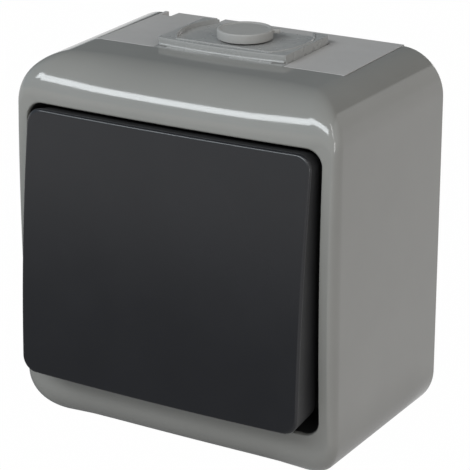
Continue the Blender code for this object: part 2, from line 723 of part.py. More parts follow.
def add_pillars(box):
    cover_seat = FLOOR_BACK - CLEARANCE
    cover_end = FLOOR_FRONT + CLEARANCE - COVER_SCREW_LENGTH - PILLAR_WALL / 2
    mechanism_end = LUG_FRONT + CLEARANCE - MECHANISM_SCREW_LENGTH - PILLAR_WALL / 2
    for side in (-1, 1):
        x = side * COVER_SCREW_PLACE
        wall = side * (BOX_HALF_WIDTH - BOX_WALL / 2)
        near = x + side * COVER_SCREW_RADIUS * 1.6
        rib = block(
            "pillar_rib_tool",
            (min(near, wall), max(near, wall)),
            (-BOX_RIM + BOX_WALL, -BOX_PLATE / 2),
            centred(PIVOT_RISE, BOX_WALL),
        )
        join(box, rib)
        add_pillar(box, x, PIVOT_RISE, COVER_PILLAR_RADIUS, cover_end, cover_seat)
        z = PIVOT_RISE + side * MECHANISM_SCREW_PLACE
        add_pillar(box, 0.0, z, MECHANISM_PILLAR_RADIUS, mechanism_end, SEAT_DEPTH)


def cut_back_plate(box):
    """Long holes for the wall screws and the groove of a knock-out for a cable from the wall."""
    half_run = (FIXING_SLOT_LENGTH - FIXING_SLOT_WIDTH) / 2
    radius = FIXING_SLOT_WIDTH / 2
    for side_x in (-1, 1):
        for side_z in (-1, 1):
            x = side_x * (BOX_HALF_WIDTH - FIXING_SLOT_MARGIN_X)
            z = side_z * (BOX_HALF_HEIGHT - FIXING_SLOT_MARGIN_Z)
            outline = rounded_outline(radius, radius + half_run, radius * 0.98)
            rings = [[(x + px, y, z + pz) for px, pz in outline] for y in (BOX_PLATE, -2 * BOX_PLATE)]
            cut(box, loft("fixing_slot_cutter", rings))
    inner = KNOCKOUT_RADIUS - KNOCKOUT_GROOVE
    low = -BOX_PLATE
    groove = turned(
        "knockout_cutter",
        [(KNOCKOUT_RADIUS, KNOCKOUT_DEPTH), (KNOCKOUT_RADIUS, low), (inner, low), (inner, KNOCKOUT_DEPTH)],
        (0.0, 0.0, -KNOCKOUT_DROP),
        True,
        closed=True,
    )
    cut(box, groove)


def make_back_box():
    box = make_box_shell()
    add_panel(box)
    add_pillars(box)
    cut_back_plate(box)


def slab(name, outline, low, high, look=None):
    """An upright slab on an outline in the plane of the top face."""
    rings = [[(x, y, z) for x, y in outline] for z in (low, high)]
    return loft(name, rings, look)


def entry_outline():
    """Outline of the entry plate, whose front edge bows out a little."""
    half = ENTRY_WIDTH / 2
    steps = 8
    points = [(half, -ENTRY_BACK), (-half, -ENTRY_BACK)]
    for step in range(steps + 1):
        x = half * (2 * step / steps - 1)
        points.append((x, -ENTRY_FRONT - ENTRY_BOW * (1 - (x / half) ** 2)))
    return points


def dish_outline():
    """A circle round the cap, cut off straight behind the plate's front rim."""
    limit = ENTRY_FRONT - DISH_RIM - ENTRY_PLACE
    start = -math.asin(limit / DISH_RADIUS)
    sweep = math.pi - 2 * start
    steps = 28
    angles = [start + sweep * step / steps for step in range(steps + 1)]
    return [(DISH_RADIUS * math.cos(a), -ENTRY_PLACE + DISH_RADIUS * math.sin(a)) for a in angles]


def make_entry_plate():
    top = PANEL_TOP + ENTRY_RISE
    seat = PANEL_TOP - ENTRY_SEAT + CLEARANCE
    plate = slab("entry_plate", entry_outline(), seat, top, "box_grey")
    flange_top = PANEL_TOP - PANEL_THICKNESS - CLEARANCE
    neck_half = ENTRY_NECK_WIDTH / 2
    neck_limits = (-PANEL_DEPTH + CLEARANCE, -ENTRY_BACK - ENTRY_SEAT - CLEARANCE)
    neck = block("entry_neck_tool", (-neck_half, neck_half), neck_limits, (flange_top - MM / 2, seat + MM / 2))
    flange_half = neck_half + PANEL_SHOULDER / 2
    flange = block(
        "entry_flange_tool", (-flange_half, flange_half), neck_limits, (flange_top - FLANGE_THICKNESS, flange_top)
    )
    dish = slab("entry_dish_cutter", dish_outline(), top - DISH_DEPTH, top + DISH_DEPTH)
    hole = cylinder(
        "entry_hole_cutter",
        CAP_STEM_RADIUS + CLEARANCE,
        (0.0, -ENTRY_PLACE, flange_top - 2 * FLANGE_THICKNESS),
        (0.0, -ENTRY_PLACE, top + DISH_DEPTH),
    )
    join(plate, neck, flange)
    cut(plate, dish, hole)


def make_entry_membrane():
    """Soft cap with a thin skin over its bore, a stem through the plate and an inner flange."""
    base = PANEL_TOP + ENTRY_RISE - DISH_DEPTH + CLEARANCE
    top = base + CAP_HEIGHT
    low = PANEL_TOP - PANEL_THICKNESS - FLANGE_THICKNESS - 2 * CLEARANCE
    bottom = low - CAP_FLANGE_THICKNESS
    bore = CAP_STEM_RADIUS - MEMBRANE_SKIN
    profile = [
        (0.0, top),
        (CAP_RADIUS - CAP_EDGE, top),
        (CAP_RADIUS, top - CAP_EDGE),
        (CAP_RADIUS, base),
        (CAP_STEM_RADIUS, base),
        (CAP_STEM_RADIUS, low),
        (CAP_FLANGE_RADIUS, low),
        (CAP_FLANGE_RADIUS, bottom),
        (bore, bottom),
        (bore, top - MEMBRANE_SKIN),
        (0.0, top - MEMBRANE_SKIN),
    ]
    cap = turned("entry_membrane", profile, (0.0, -ENTRY_PLACE, 0.0), False, "soft_grey", steps=28)
    nib = block(
        "cap_nib_tool",
        (CAP_RADIUS - NIB_LENGTH, CAP_RADIUS + NIB_LENGTH),
        centred(0.0, NIB_WIDTH),
        (top - CAP_HEIGHT / 2, top - CAP_EDGE / 2),
    )
    nib.location = (0.0, -ENTRY_PLACE, 0.0)
    nib.rotation_euler[2] = math.radians(NIB_ANGLE_DEG)
    join(cap, nib)


def make_mechanism_plate():
    half = PLATE_SIZE / 2
    plate = prism("mechanism_plate", half, half, WINDOW_RADIUS, PLATE_BACK, PLATE_FRONT, "cream_plastic", PIVOT_RISE)
    for side in (-1, 1):
        inner = PIVOT_RISE + side * (half - LUG_THICKNESS)
        outer = PIVOT_RISE + side * (MECHANISM_SCREW_PLACE + LUG_LENGTH)
        lug = block(
            "lug_tool", centred(0.0, LUG_WIDTH), (-LUG_FRONT, -PLATE_BACK), (min(inner, outer), max(inner, outer))
        )
        screw_z = PIVOT_RISE + side * MECHANISM_SCREW_PLACE
        hole_radius = MECHANISM_SCREW_RADIUS + CLEARANCE
        hole = through_plate("lug_hole_cutter", hole_radius, 0.0, screw_z)
        join(plate, lug)
        cut(plate, hole)
        x = side * EAR_PLACE
        ear_x = centred(x, EAR_THICKNESS)
        ear = block(
            "ear_tool", ear_x, (-PIVOT_DEPTH, -(PLATE_BACK + PLATE_FRONT) / 2), centred(PIVOT_RISE, 2 * EAR_RADIUS)
        )
        ear_end = cylinder("ear_end_tool", EAR_RADIUS, (ear_x[0], *PIVOT[1:]), (ear_x[1], *PIVOT[1:]))
        join(plate, ear, ear_end)
        pin_hole = cylinder(
            "ear_hole_cutter", PIN_RADIUS + CLEARANCE, (x - EAR_RADIUS, *PIVOT[1:]), (x + EAR_RADIUS, *PIVOT[1:])
        )
        cut(plate, pin_hole)
    opening_half = BARREL_RADIUS + 4 * MM
    opening = block(
        "plate_opening_cutter",
        (-opening_half, opening_half),
        (-PLATE_FRONT - MM, -PLATE_BACK + MM),
        centred(PIVOT_RISE, 2 * opening_half),
    )
    cut(plate, opening)
    for x, z in TERMINALS.values():
        cut(plate, through_plate("access_cutter", TERMINAL_HEAD_RADIUS + CLEARANCE, x, z))


def through_plate(name, radius, x, z):
    return cylinder(name, radius, (x, -PLATE_BACK + MM, z), (x, -PLATE_FRONT - MM, z), steps=16)


def make_mechanism_body():
    """Insulating body with the contact chamber, three terminal bays and their wire holes."""
    half = (BODY_WIDTH / 2, BODY_HEIGHT / 2, WINDOW_RADIUS)
    body = prism("mechanism_body", *half, BODY_BACK, SEAT_DEPTH, "cream_plastic", PIVOT_RISE)
    front = -SEAT_DEPTH - MM
    chamber = block(
        "chamber_cutter",
        centred(0.0, CHAMBER_WIDTH),
        (front, -CHAMBER_FLOOR),
        centred(PIVOT_RISE, CHAMBER_HEIGHT),
    )
    cut(body, chamber)
    bay_half = (BLOCK_WIDTH / 2 + CLEARANCE, BLOCK_LENGTH / 2 + CLEARANCE)
    chamber_edge = CHAMBER_HEIGHT / 2 - CHAMBER_OVERLAP
    for name, (x, z) in TERMINALS.items():
        if name == "common":
            bay_x = (CHAMBER_WIDTH / 2 - CHAMBER_OVERLAP, x + bay_half[0])
            bay_z = (z - bay_half[1], PIVOT_RISE + COMMON_STRAP_WIDTH / 2 + CLEARANCE)
        else:
            side = 1 if z > PIVOT_RISE else -1
            ends = (PIVOT_RISE + side * chamber_edge, z + side * bay_half[1])
            bay_x = (-bay_half[0], bay_half[0])
            bay_z = (min(ends), max(ends))
        bay = block("bay_cutter", bay_x, (front, -BAY_FLOOR), bay_z)
        outside = PIVOT_RISE + (1 if z > PIVOT_RISE else -1) * (BODY_HEIGHT / 2 + MM)
        wire = cylinder(
            "wire_cutter", WIRE_RADIUS + CLEARANCE, (x, -WIRE_DEPTH, z), (x, -WIRE_DEPTH, outside), steps=16
        )
        cut(body, bay, wire)


def make_straps():
    """Two straps with a fixed contact, and the common strap with the see-saw's ridge."""
    levels = (-STRAP_FRONT, -STRAP_BACK)
    for name in ("upper", "lower"):
        x, z = TERMINALS[name]
        side = 1 if z > PIVOT_RISE else -1
        ends = (PIVOT_RISE + side * (BUTTON_PLACE - BUTTON_RADIUS), z + side * BLOCK_LENGTH / 2)
        strap = block(
            name + "_contact", centred(0.0, STRAP_WIDTH), levels, (min(ends), max(ends)), "copper"
        )
        button_z = PIVOT_RISE + side * BUTTON_PLACE
        middle = -(STRAP_FRONT + STRAP_BACK) / 2
        button = cylinder("fixed_button_tool", BUTTON_RADIUS - CLEARANCE, (0, middle, button_z), (0, -FIXED_FACE, button_z))
        join(strap, button)
        cut(strap, strap_hole(x, z))
    x, z = TERMINALS["common"]
    half = COMMON_STRAP_WIDTH / 2
    strap = block(
        "common_strap", (-CONTACT_WIDTH / 2, x + half), levels, centred(PIVOT_RISE, COMMON_STRAP_WIDTH), "copper"
    )
    arm = block("strap_arm_tool", centred(x, STRAP_WIDTH), levels, (z - BLOCK_LENGTH / 2, PIVOT_RISE))
    post = block(
        "strap_post_tool",
        centred(0.0, CONTACT_WIDTH),
        (-CONTACT_AXIS, -(STRAP_FRONT + STRAP_BACK) / 2),
        centred(PIVOT_RISE, 1.5 * RIDGE_RADIUS),
    )
    ridge_ends = [(side * CONTACT_WIDTH / 2, -CONTACT_AXIS, PIVOT_RISE) for side in (-1, 1)]
    ridge = cylinder("strap_ridge_tool", RIDGE_RADIUS, *ridge_ends, steps=16)
    join(strap, arm, post, ridge)
    cut(strap, strap_hole(x, z))


def strap_hole(x, z):
    radius = TERMINAL_SCREW_RADIUS + CLEARANCE
    return cylinder("strap_hole_cutter", radius, (x, -STRAP_BACK + MM, z), (x, -STRAP_FRONT - MM, z), steps=16)


def make_terminals():
    """A block with a wire hole and a screw behind each strap's end."""
    hole_radius = TERMINAL_SCREW_RADIUS + CLEARANCE
    for name, (x, z) in TERMINALS.items():
        body = block(
            name + "_block",
            centred(x, BLOCK_WIDTH),
            (-BLOCK_FRONT, -BLOCK_FRONT + BLOCK_HEIGHT),
            centred(z, BLOCK_LENGTH),
            "brass",
        )
        screw_hole = cylinder(
            "block_hole_cutter", hole_radius, (x, -WIRE_DEPTH, z), (x, -BLOCK_FRONT - MM, z), steps=16
        )
        wire_ends = [(x, -WIRE_DEPTH, z + side * BLOCK_LENGTH) for side in (-1, 1)]
        wire_hole = cylinder("block_wire_cutter", WIRE_RADIUS, *wire_ends, steps=16)
        cut(body, screw_hole, wire_hole)
        seat = STRAP_FRONT + CLEARANCE
        make_screw(
            name + "_screw", (x, -seat, z), TERMINAL_SCREW_RADIUS, TERMINAL_SCREW_LENGTH, TERMINAL_HEAD_RADIUS
        )


def make_screw(name, seat, radius, length, head_radius, look="steel"):
    """A pan head screw that points into the box, with a cross recess."""
    head = head_radius * HEAD_HEIGHT_SHARE
    edge = head * 0.3
    profile = [
        (0.0, head),
        (head_radius - edge, head),
        (head_radius, head - edge),
        (head_radius, 0.0),
        (radius, 0.0),
        (radius, -length + radius / 2),
        (radius / 2, -length),
        (0.0, -length),
    ]
    screw = turned(name, profile, seat, True, look, steps=16)
    x, y, z = seat
    arm = head_radius * 0.62
    width = head_radius * 0.14
    depth_limits = (y - head - MM, y - head * 0.45)
    for half_x, half_z in ((arm, width), (width, arm)):
        slot = block("screw_slot_cutter", (x - half_x, x + half_x), depth_limits, (z - half_z, z + half_z))
        cut(screw, slot)


def make_screws():
    names = {-1: ("cover_screw_left", "mechanism_screw_lower"), 1: ("cover_screw_right", "mechanism_screw_upper")}
    for side, (cover_name, mechanism_name) in names.items():
        cover_seat = (side * COVER_SCREW_PLACE, -FLOOR_FRONT - CLEARANCE, PIVOT_RISE)
        make_screw(cover_name, cover_seat, COVER_SCREW_RADIUS, COVER_SCREW_LENGTH, COVER_HEAD_RADIUS)
        mechanism_seat = (0.0, -LUG_FRONT - CLEARANCE, PIVOT_RISE + side * MECHANISM_SCREW_PLACE)
        make_screw(
            mechanism_name, mechanism_seat, MECHANISM_SCREW_RADIUS, MECHANISM_SCREW_LENGTH, MECHANISM_HEAD_RADIUS
        )


def make_gasket():
    """Soft frame between the hood's floor and the mechanism's plate."""
    inner = FLOOR_OPENING / 2 + CLEARANCE
    outer = inner + GASKET_WIDTH
    back = PLATE_FRONT + CLEARANCE
    front = FLOOR_BACK - CLEARANCE
    rings = []
    for half, depth in ((outer, back), (outer, front), (inner, front), (inner, back)):
        rings.append(ring(half, half, WINDOW_RADIUS, depth, rise=PIVOT_RISE))
    loft("mechanism_gasket", rings, "black_rubber", around=True)


clear_scene()
PARTS = make_collection("surface_mounted_light_switch")
CUTTERS = make_collection("cutters")
make_pivots()
make_hood()
make_back_box()
make_entry_plate()
make_entry_membrane()
make_rocker()
make_cradle()
make_plunger()
make_spring()
make_moving_contact()
make_straps()
make_terminals()
make_mechanism_plate()
make_mechanism_body()
make_gasket()
make_screws()
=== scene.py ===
"""Studio scene for the surface mounted light switch: finer shapes, materials, light and camera."""
import math

import bmesh
import bpy
from mathutils import Matrix, Vector


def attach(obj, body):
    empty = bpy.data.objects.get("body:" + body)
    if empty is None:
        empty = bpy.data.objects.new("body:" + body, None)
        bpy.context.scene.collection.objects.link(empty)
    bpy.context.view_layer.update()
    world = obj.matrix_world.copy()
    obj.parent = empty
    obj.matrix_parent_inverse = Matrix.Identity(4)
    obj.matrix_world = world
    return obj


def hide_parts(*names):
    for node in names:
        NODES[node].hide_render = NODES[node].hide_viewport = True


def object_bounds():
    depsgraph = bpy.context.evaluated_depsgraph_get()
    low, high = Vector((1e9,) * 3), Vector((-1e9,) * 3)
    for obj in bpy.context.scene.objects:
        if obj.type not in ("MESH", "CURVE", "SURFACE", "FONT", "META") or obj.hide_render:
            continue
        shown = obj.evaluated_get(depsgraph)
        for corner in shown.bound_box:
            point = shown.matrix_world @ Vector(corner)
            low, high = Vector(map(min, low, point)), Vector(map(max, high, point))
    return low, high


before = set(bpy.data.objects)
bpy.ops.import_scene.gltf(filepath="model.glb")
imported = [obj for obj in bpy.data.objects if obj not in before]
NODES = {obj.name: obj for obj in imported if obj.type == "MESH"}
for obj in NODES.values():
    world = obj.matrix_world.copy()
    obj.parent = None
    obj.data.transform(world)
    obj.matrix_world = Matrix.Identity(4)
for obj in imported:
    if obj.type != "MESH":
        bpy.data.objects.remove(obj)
CAD_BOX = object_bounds()

MM = 0.001

# Sizes of the part that its source gives or works out, in metres
WIDTH = 70.0 * MM
HEIGHT = 73.0 * MM
DEPTH = 41.4 * MM
CLEARANCE = 0.3 * MM
HOOD_WALL = 2.0 * MM
HOOD_BACK_GAP = 0.5 * MM
TOP_ROLL_DEPTH = 9.2 * MM
TOP_ROLL_INSET = 7.4 * MM
FACE_CROWN = 0.75 * MM
WINDOW_WIDTH = 61.8 * MM
WINDOW_HEIGHT = 54.2 * MM
WINDOW_RISE = 0.7 * MM
WINDOW_RADIUS = 3.2 * MM
WINDOW_EDGE = 0.4 * MM
WELL_DRAFT = 0.9 * MM
WELL_WALL = 1.6 * MM
WELL_LEAN = 0.4 * MM
FLOOR_FRONT = 32.0 * MM
FLOOR_BACK = 30.2 * MM
FLOOR_OPENING = 31.0 * MM
LIP_THICKNESS = 3.0 * MM
CAVITY_LEAN = 2.3 * MM
PIVOT_DEPTH = 35.4 * MM
PIVOT_RISE = 0.8 * MM
ROCKER_WIDTH = 59.6 * MM
ROCKER_REACH = 10.0 * MM
ROCKER_CROWN = 0.9 * MM
ROCKER_WALL = 1.6 * MM
ROCKER_SKIRT = 8.0 * MM
ROCKER_DRAFT = 0.7 * MM
ROCKER_TILT = math.radians(5.3)
LEG_PLACE = 7.0 * MM
LEG_WIDTH = 6.0 * MM
LEG_THICKNESS = 1.6 * MM
LEG_END = 0.8 * MM
RIB_PLACE = 14.0 * MM
RIB_THICKNESS = 1.2 * MM
RIB_DEPTH = 3.0 * MM
PANEL_HALF_WIDTH = 26.3 * MM
PANEL_DEPTH = 24.3 * MM
COVER_SCREW_PLACE = 24.6 * MM
COVER_HOLE_RADIUS = 1.8 * MM
PANEL_TOP = HEIGHT / 2
PANEL_THICKNESS = 2.2 * MM
ENTRY_WIDTH = 27.2 * MM
ENTRY_FRONT = 23.0 * MM
ENTRY_BACK = 6.2 * MM
ENTRY_PLACE = 14.0 * MM
ENTRY_RISE = 1.6 * MM
ENTRY_SEAT = 0.6 * MM
ENTRY_NECK_WIDTH = 22.4 * MM
ENTRY_BOW = 1.0 * MM
ENTRY_FLANGE_MARGIN = 1.4 * MM
FLANGE_THICKNESS = 1.3 * MM
DISH_RADIUS = 12.8 * MM
DISH_DEPTH = 0.7 * MM
DISH_RIM = 0.7 * MM
CAP_RADIUS = 5.3 * MM
CAP_HEIGHT = 1.8 * MM
CAP_STEM_RADIUS = 3.6 * MM
CAP_FLANGE_RADIUS = 5.0 * MM
CAP_FLANGE_THICKNESS = 1.4 * MM
CAP_EDGE = 0.3 * MM
NIB_LENGTH = 1.3 * MM
NIB_WIDTH = 1.0 * MM
NIB_ANGLE = math.radians(30)
MEMBRANE_SKIN = 1.0 * MM

# Finer shape of the hood's sides: they lean in a little, with even corners and a tight edge at the lip
CORNER_RADIUS = 8.7 * MM
CAVITY_SIDE_DEPTH = 32.0 * MM
SIDE_TAPER = 1.1 * MM
SIDE_EDGE_INSET = 1.4 * MM
SIDE_EDGE_DEPTH = 2.4 * MM
LIP_RADIUS = 2.6 * MM

# Small roundings of the hood, and how far behind the lip the well turns near black, a painted shade on the
# hood's own walls for the gap round the rocker
HOOD_BACK_EDGE = 0.5 * MM
WELL_FOOT = 0.6 * MM
SLOT_RADIUS = 0.7 * MM
WELL_SHADE_DEPTH = 0.7 * MM

# Finer shape of the rocker: 0.2 mm longer at each end than the solid, rounder corners and a tighter edge
ROCKER_HEIGHT = 51.4 * MM
ROCKER_RADIUS = 2.9 * MM
ROCKER_EDGE = 0.55 * MM

# A face of the rocker gets the sides' lighter and rougher plastic, a painted light on its sides, where its
# normal leans less than this to the front or back
ROCKER_SIDE_LEAN = 0.3

# Fine lines on the cable entry: a bead along the plate's foot, a raised rim round its dish and one on the cap
ENTRY_CORNER = 0.5 * MM
ENTRY_BEAD = 0.28 * MM
ENTRY_UNDERCUT = 0.45 * MM
DISH_LINE = 0.3 * MM
DISH_LINE_RISE = 0.18 * MM
CAP_RECESS = 0.18 * MM
CAP_RIM = 0.6 * MM
CAP_RIM_RADIUS = 0.15 * MM
CAP_RECESS_RADIUS = 0.1 * MM
NIB_RADIUS = 0.4 * MM

# Bevels on sharp edges
HOOD_BEVEL = 0.28 * MM
ROCKER_BEVEL = 0.2 * MM
PLATE_BEVEL = 0.16 * MM
CAP_BEVEL = 0.08 * MM

# Fineness of the outlines and rolls
CORNER_STEPS = 16
SIDE_STEPS = 10
ROLL_STEPS = 26


# Materials: noise scales per metre, bump heights in metres

CLOUD_SCALE = 60.0
HANDLING_SCALE = 180.0
WAVE_SCALE = 90.0
WAVE_HEIGHT = 0.00012
GRAIN_SCALE = 9000.0
GRAIN_HEIGHT = 0.00001
STREAK_SCALE = 900.0
STREAK_HEIGHT = 0.00002
STAIN_SCALE = 160.0
STAIN_SHADE = 0.82


def new_material(name, colour, roughness, specular=0.5, metallic=0.0):
    made = bpy.data.materials.new(name)
    made.use_nodes = True
    nodes = made.node_tree.nodes
    shader = nodes["Principled BSDF"]
    shader.inputs["Base Color"].default_value = (*colour, 1.0)
    shader.inputs["Roughness"].default_value = roughness
    shader.inputs["Specular IOR Level"].default_value = specular
    shader.inputs["Metallic"].default_value = metallic
    return made, nodes, made.node_tree.links, shader


def noise(nodes, links, place, scale, detail=3.0, stretch=None):
    made = nodes.new("ShaderNodeTexNoise")
    made.inputs["Scale"].default_value = scale
    made.inputs["Detail"].default_value = detail
    source = place.outputs["Object"]
    if stretch:
        mapping = nodes.new("ShaderNodeMapping")
        mapping.inputs["Scale"].default_value = stretch
        links.new(source, mapping.inputs["Vector"])
        source = mapping.outputs["Vector"]
    links.new(source, made.inputs["Vector"])
    return made.outputs["Fac"]


def spread(nodes, links, value, low, high, start=0.3, end=0.7):
    made = nodes.new("ShaderNodeMapRange")
    made.inputs["From Min"].default_value = start
    made.inputs["From Max"].default_value = end
    made.inputs["To Min"].default_value = low
    made.inputs["To Max"].default_value = high
    links.new(value, made.inputs["Value"])
    return made.outputs["Result"]


def vary_colour(nodes, links, shader, value, dark, light):
    mix = nodes.new("ShaderNodeMix")
    mix.data_type = "RGBA"
    mix.inputs["A"].default_value = (*dark, 1.0)
    mix.inputs["B"].default_value = (*light, 1.0)
    links.new(value, mix.inputs["Factor"])
    links.new(mix.outputs["Result"], shader.inputs["Base Color"])


def raise_bumps(nodes, links, shader, layers):
    """Stack bump layers, each a height, a strength and a distance in metres."""
    previous = None
    for value, strength, distance in layers:
        bump = nodes.new("ShaderNodeBump")
        bump.inputs["Strength"].default_value = strength
        bump.inputs["Distance"].default_value = distance
        links.new(value, bump.inputs["Height"])
        if previous:
            links.new(previous, bump.inputs["Normal"])
        previous = bump.outputs["Normal"]
    links.new(previous, shader.inputs["Normal"])


def plastic(name, colour, roughness, specular, shift=0.05, rough_shift=0.05, grain=0.15, wave=0.1):
    """Moulded plastic: cloudy pigment, uneven gloss, a fine spark-eroded grain and slow waves."""
    made, nodes, links, shader = new_material(name, colour, roughness, specular)
    place = nodes.new("ShaderNodeTexCoord")
    cloud = noise(nodes, links, place, CLOUD_SCALE, 4.0)
    dark = [c * (1 - shift) for c in colour]
    light = [c * (1 + shift) for c in colour]
    vary_colour(nodes, links, shader, spread(nodes, links, cloud, 0.0, 1.0), dark, light)
    handling = noise(nodes, links, place, HANDLING_SCALE, 5.0)
    links.new(
        spread(nodes, links, handling, roughness - rough_shift, roughness + rough_shift),
        shader.inputs["Roughness"],
    )
    fine = noise(nodes, links, place, GRAIN_SCALE, 2.0)
    slow = noise(nodes, links, place, WAVE_SCALE, 1.0)
    raise_bumps(nodes, links, shader, ((slow, wave, WAVE_HEIGHT), (fine, grain, GRAIN_HEIGHT)))
    return made


def metal(name, colour, roughness, brush):
    """Drawn or plated metal with fine streaks along one axis."""
    made, nodes, links, shader = new_material(name, colour, roughness, metallic=1.0)
    place = nodes.new("ShaderNodeTexCoord")
    streak = noise(nodes, links, place, STREAK_SCALE, stretch=brush)
    stain = noise(nodes, links, place, STAIN_SCALE, 4.0)
    dark = [c * STAIN_SHADE for c in colour]
    vary_colour(nodes, links, shader, spread(nodes, links, stain, 0.0, 1.0), dark, colour)
    links.new(spread(nodes, links, streak, roughness - 0.08, roughness + 0.12), shader.inputs["Roughness"])
    raise_bumps(nodes, links, shader, ((streak, 0.25, STREAK_HEIGHT),))
    return made


HOOD = plastic(
    "hood_plastic", (0.188, 0.185, 0.173), 0.11, 0.5, shift=0.03, rough_shift=0.02, grain=0.03, wave=0.04
)
BOX = plastic("box_plastic", (0.342, 0.330, 0.320), 0.42, 0.35, shift=0.04, rough_shift=0.06, grain=0.25)
PLATE = plastic("entry_plate_plastic", (0.262, 0.260, 0.252), 0.27, 0.45, shift=0.04, grain=0.12)
CAP = plastic("cap_elastomer", (0.272, 0.266, 0.255), 0.6, 0.3, shift=0.05, rough_shift=0.08, grain=0.3)
ROCKER = plastic(
    "rocker_plastic",
    (0.0096, 0.0097, 0.0112),
    0.24,
    0.36,
    shift=0.06,
    rough_shift=0.03,
    grain=0.12,
    wave=0.05,
)
# The rocker's sides: its black plastic painted lighter, a painted light on the sides, and rougher
ROCKER_PAINTED_LIGHT_SIDE = plastic("rocker_side_painted_light", (0.026, 0.026, 0.027), 0.5, 0.36, shift=0.06, grain=0.3)
# Black rubber for the mechanism's gasket, also put on the hood's well walls as a painted shade for the gap
# round the rocker
RUBBER_AND_WELL_SHADE = plastic("gasket_rubber_and_well_shade", (0.012, 0.012, 0.012), 0.75, 0.2, shift=0.2, rough_shift=0.1, grain=0.6)
CREAM = plastic("insulator_plastic", (0.70, 0.66, 0.56), 0.45, 0.4, shift=0.05, grain=0.3)
STEEL = metal("zinc_plated_steel", (0.60, 0.61, 0.64), 0.3, (1.0, 14.0, 1.0))
BRASS = metal("turned_brass", (0.78, 0.58, 0.28), 0.3, (1.0, 1.0, 12.0))
COPPER = metal("contact_copper", (0.82, 0.47, 0.32), 0.28, (10.0, 1.0, 1.0))


# Mesh helpers

def add_mesh(name, bm, look):
    mesh = bpy.data.meshes.new(name)
    bm.to_mesh(mesh)
    bm.free()
    mesh.materials.append(look)
    obj = bpy.data.objects.new(name, mesh)
    bpy.context.scene.collection.objects.link(obj)
    return obj


def smooth(obj, angle=35.0):
    obj.data.shade_smooth()
    obj.data.set_sharp_from_angle(angle=math.radians(angle))


def bevel(obj, width, segments=3, angle=38.0):
    change = obj.modifiers.new("edges", "BEVEL")
    change.width = width
    change.segments = segments
    change.limit_method = "ANGLE"
    change.angle_limit = math.radians(angle)
    change.use_clamp_overlap = True
    change.miter_outer = "MITER_ARC"
    change.harden_normals = False
    weight = obj.modifiers.new("normals", "WEIGHTED_NORMAL")
    weight.keep_sharp = False
    weight.weight = 80


def apply(obj):
    """Turn the modified shape into the object's own mesh."""
    bpy.context.view_layer.update()
    graph = bpy.context.evaluated_depsgraph_get()
    mesh = bpy.data.meshes.new_from_object(obj.evaluated_get(graph))
    obj.modifiers.clear()
    obj.data = mesh


def boolean(obj, tool, operation="DIFFERENCE"):
    change = obj.modifiers.new(tool.name, "BOOLEAN")
    change.operation = operation
    change.solver = "EXACT"
    change.object = tool
    apply(obj)
    bpy.data.objects.remove(tool, do_unlink=True)


def rounded_outline(half_width, half_height, radius, corner=CORNER_STEPS, side=SIDE_STEPS):
    corners = ((1, 1, 0), (-1, 1, 90), (-1, -1, 180), (1, -1, 270))
    points = []
    for sign_x, sign_z, start in corners:
        centre_x = sign_x * (half_width - radius)
        centre_z = sign_z * (half_height - radius)
        for step in range(corner + 1):
            angle = math.radians(start + 90 * step / corner)
            points.append((centre_x + radius * math.cos(angle), centre_z + radius * math.sin(angle)))
    filled = []
    for index, (x, z) in enumerate(points):
        filled.append((x, z))
        if index % (corner + 1) == corner:
            next_x, next_z = points[(index + 1) % len(points)]
            for step in range(1, side):
                share = step / side
                filled.append((x + (next_x - x) * share, z + (next_z - z) * share))
    return filled


def top_share(x, z, half_width, half_height):
    """How much a point of an outline belongs to the top or bottom side, from 0 to 1."""
    upright = (abs(z) / half_height) ** 8
    sideways = (abs(x) / half_width) ** 8
    return (upright / (upright + sideways)) ** 2


def dome(x, z):
    """The crown's share at a place on the hood's face: 2 in the middle, 0 at the window's corners."""
    return 2.0 - (x / (WINDOW_WIDTH / 2)) ** 2 - (z / (WINDOW_HEIGHT / 2)) ** 2


def ring(half_width, half_height, radius, side_depth, top_depth=None, rise=0.0, crown=0.0):
    """One closed section of a loft, at a depth that may differ between the sides and the top."""
    if top_depth is None:
        top_depth = side_depth
    points = []
    for x, z in rounded_outline(half_width, half_height, radius):
        share = top_share(x, z, half_width, half_height)
        depth = side_depth + (top_depth - side_depth) * share
        depth += crown * dome(x, z + rise)
        points.append((x, -depth, z + rise))
    return points


def loft(name, rings, look, around=False):
    """A skin over rings with the same number of points, closed by two ends or joined all around."""
    bm = bmesh.new()
    loops = [[bm.verts.new(point) for point in section] for section in rings]
    pairs = list(zip(loops, loops[1:]))
    if around:
        pairs.append((loops[-1], loops[0]))
    for first, second in pairs:
        for index in range(len(first)):
            after = (index + 1) % len(first)
            bm.faces.new((first[index], first[after], second[after], second[index]))
    if not around:
        bm.faces.new(loops[0])
        bm.faces.new(loops[-1])
    bmesh.ops.recalc_face_normals(bm, faces=bm.faces)
    return add_mesh(name, bm, look)


def slab(name, outline, low, high, look):
    return loft(name, [[(x, y, z) for x, y in outline] for z in (low, high)], look)


def box(name, x, y, z, look):
    bm = bmesh.new()
    bmesh.ops.create_cube(bm, size=1.0)
    for vert in bm.verts:
        for axis, (low, high) in enumerate((x, y, z)):
            vert.co[axis] = low if vert.co[axis] < 0 else high
    return add_mesh(name, bm, look)


def tube(name, radius, start, end, look, steps=48):
    """A round bar between two points."""
    bm = bmesh.new()
    run = Vector(end) - Vector(start)
    turn = run.to_track_quat("Z", "Y").to_matrix().to_4x4()
    place = Matrix.Translation((Vector(start) + Vector(end)) / 2) @ turn
    bmesh.ops.create_cone(
        bm, cap_ends=True, segments=steps, radius1=radius, radius2=radius, depth=run.length, matrix=place
    )
    return add_mesh(name, bm, look)


